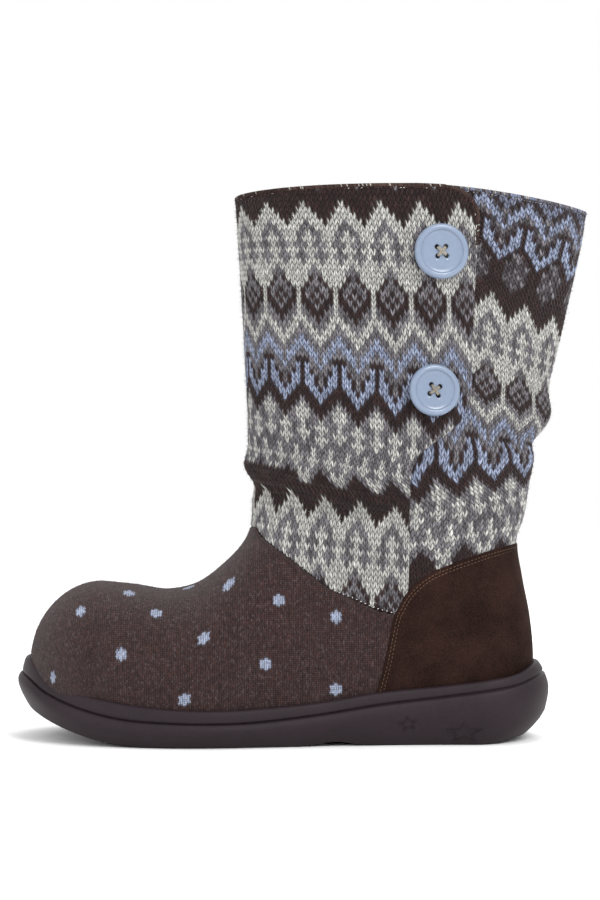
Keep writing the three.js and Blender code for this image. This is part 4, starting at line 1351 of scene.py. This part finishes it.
def turnDish(name, radius):
    outline = [(0.0, 0.0)] + [(radius - inset, height) for inset, height in buttonEdge]
    outline += [(radius * share, height) for share, height in buttonMiddle]
    bm = bmesh.new()
    verts = [bm.verts.new((r * mm, 0, h * mm)) for r, h in outline]
    for a, b in zip(verts, verts[1:]):
        bm.edges.new((a, b))
    bmesh.ops.spin(bm, geom=bm.verts[:] + bm.edges[:], cent=(0, 0, 0), axis=(0, 0, 1), angle=2 * math.pi,
                   steps=buttonShape["around"], use_merge=True)
    bmesh.ops.remove_doubles(bm, verts=bm.verts, dist=0.01 * mm)
    bmesh.ops.recalc_face_normals(bm, faces=bm.faces)
    return takeMesh(name, bm)


def holeCutters():
    bm = bmesh.new()
    square, hole, bore, middle = (buttonShape[name] * mm for name in ("square", "hole", "bore", "boreMiddle"))
    for x, y in product((-square, square), repeat=2):
        bmesh.ops.create_cone(bm, cap_ends=True, segments=buttonShape["holeSides"], radius1=hole,
                              radius2=hole, depth=bore, matrix=Matrix.Translation((x, y, middle)))
    return takeMesh("holes", bm)


def makeButton(settings):
    axes, place = buttonFrame(settings)
    body = addObject("body", turnDish(settings["name"], settings["radius"]))
    holes = addObject("holes", holeCutters())
    cut = body.modifiers.new("holes", "BOOLEAN")
    cut.object = holes
    cut.solver = "EXACT"
    bored = bpy.data.meshes.new_from_object(body.evaluated_get(bpy.context.evaluated_depsgraph_get()))
    for part in (body, holes):
        bpy.data.objects.remove(part)
    matrix = Matrix(axes.T.tolist()).to_4x4()
    matrix.translation = Vector(place.tolist()) * mm
    bored.transform(matrix)
    bored.materials.clear()
    addPiece(settings["name"] + "_dish", bored, resin, [settings["name"]])


def sewButton(settings):
    axes, place = buttonFrame(settings)
    floor = buttonMiddle[-1][1]
    meshes = []
    for (turned, over), offset in product(((45, 0.0), (-45, strands["over"])), (-1, 0, 1)):
        mesh, i, j = gridMesh("strand", strands["around"], strands["along"])
        t = j / strands["along"] * 2 - 1
        away = np.abs(t)
        along = buttonShape["square"] * math.sqrt(2) * np.sin(t * math.pi / 2) * strands["reach"]
        drop = np.maximum(0, (away - strands["straight"]) / (1 - strands["straight"])) ** strands["curve"]
        rise = floor + over + strands["top"] * (1 - drop) - strands["deep"] * drop
        rise = rise - strands["sag"] * abs(offset)
        around = 2 * math.pi * i / strands["around"]
        side = offset * strands["spread"] * (1 - strands["pinch"] * away) + strands["radius"] * np.cos(around)
        rise = rise + strands["radius"] * np.sin(around)
        cosine, sine = math.cos(math.radians(turned)), math.sin(math.radians(turned))
        local = np.stack([along * cosine - side * sine, along * sine + side * cosine, rise], axis=1)
        setPoints(mesh, place + local @ axes)
        meshes.append(mesh)
    name = settings["name"] + "_thread"
    addPiece(name, joinMeshes(name, meshes, 0.002), threads["grey"])


for settings in buttons:
    makeButton(settings)
    sewButton(settings)
print("buttons ready")

# Small stars raised on the sole's outer wall; each ring of one has a share of its size and a height
stars = [
    {"x": 62, "z": 11.2, "wide": 5.2, "high": 4.4, "turn": 8},
    {"x": 89.8, "z": 6.2, "wide": 10.2, "high": 6.0, "turn": 0},
]
starShape = {"inner": 0.42, "perEdge": 4, "rings": ((1.0, -0.3), (0.93, 0.5), (0.84, 0.5), (0.76, -0.3))}


# The wall's y at points of the side view
def solePlace(x, z):
    ring, outs = planRing(960)
    near = ring[:, 1] < 0
    lines = [wallPoint(ring, outs, False, *row)[near] for row in wallRows[:-1]]
    lines = [line[np.argsort(line[:, 0])] for line in lines]
    found = []
    for atX, atZ in zip(x, z):
        cross = np.array([[np.interp(atX, line[:, 0], line[:, k]) for k in (1, 2)] for line in lines])
        order = np.argsort(cross[:, 1])
        found.append(np.interp(atZ, cross[order, 1], cross[order, 0]))
    return np.array(found)


def makeStars():
    shares, heights = np.array(starShape["rings"]).T
    points = np.arange(11)
    around = np.arange(10 * starShape["perEdge"]) / starShape["perEdge"]
    meshes = []
    for star in stars:
        angle = math.pi / 2 + math.pi / 5 * points + math.radians(star["turn"])
        size = np.where(points % 2 == 0, 1, starShape["inner"])
        across, up = (np.interp(around, points, size * turned(angle)) for turned in (np.cos, np.sin))
        mesh, i, j = gridMesh("star", len(around), len(shares) - 1)
        x = star["x"] + across[i % len(around)] * shares[j] * star["wide"]
        z = star["z"] + up[i % len(around)] * shares[j] * star["high"]
        setPoints(mesh, np.stack([x, solePlace(x, z) - heights[j], z], axis=1))
        meshes.append(mesh)
    addPiece("sole_stars", joinMeshes("sole_stars", meshes, 0.002), rubber)


makeStars()

# Cloth on the insole's own solid
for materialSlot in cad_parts["insole"].material_slots:
    materialSlot.material = cover
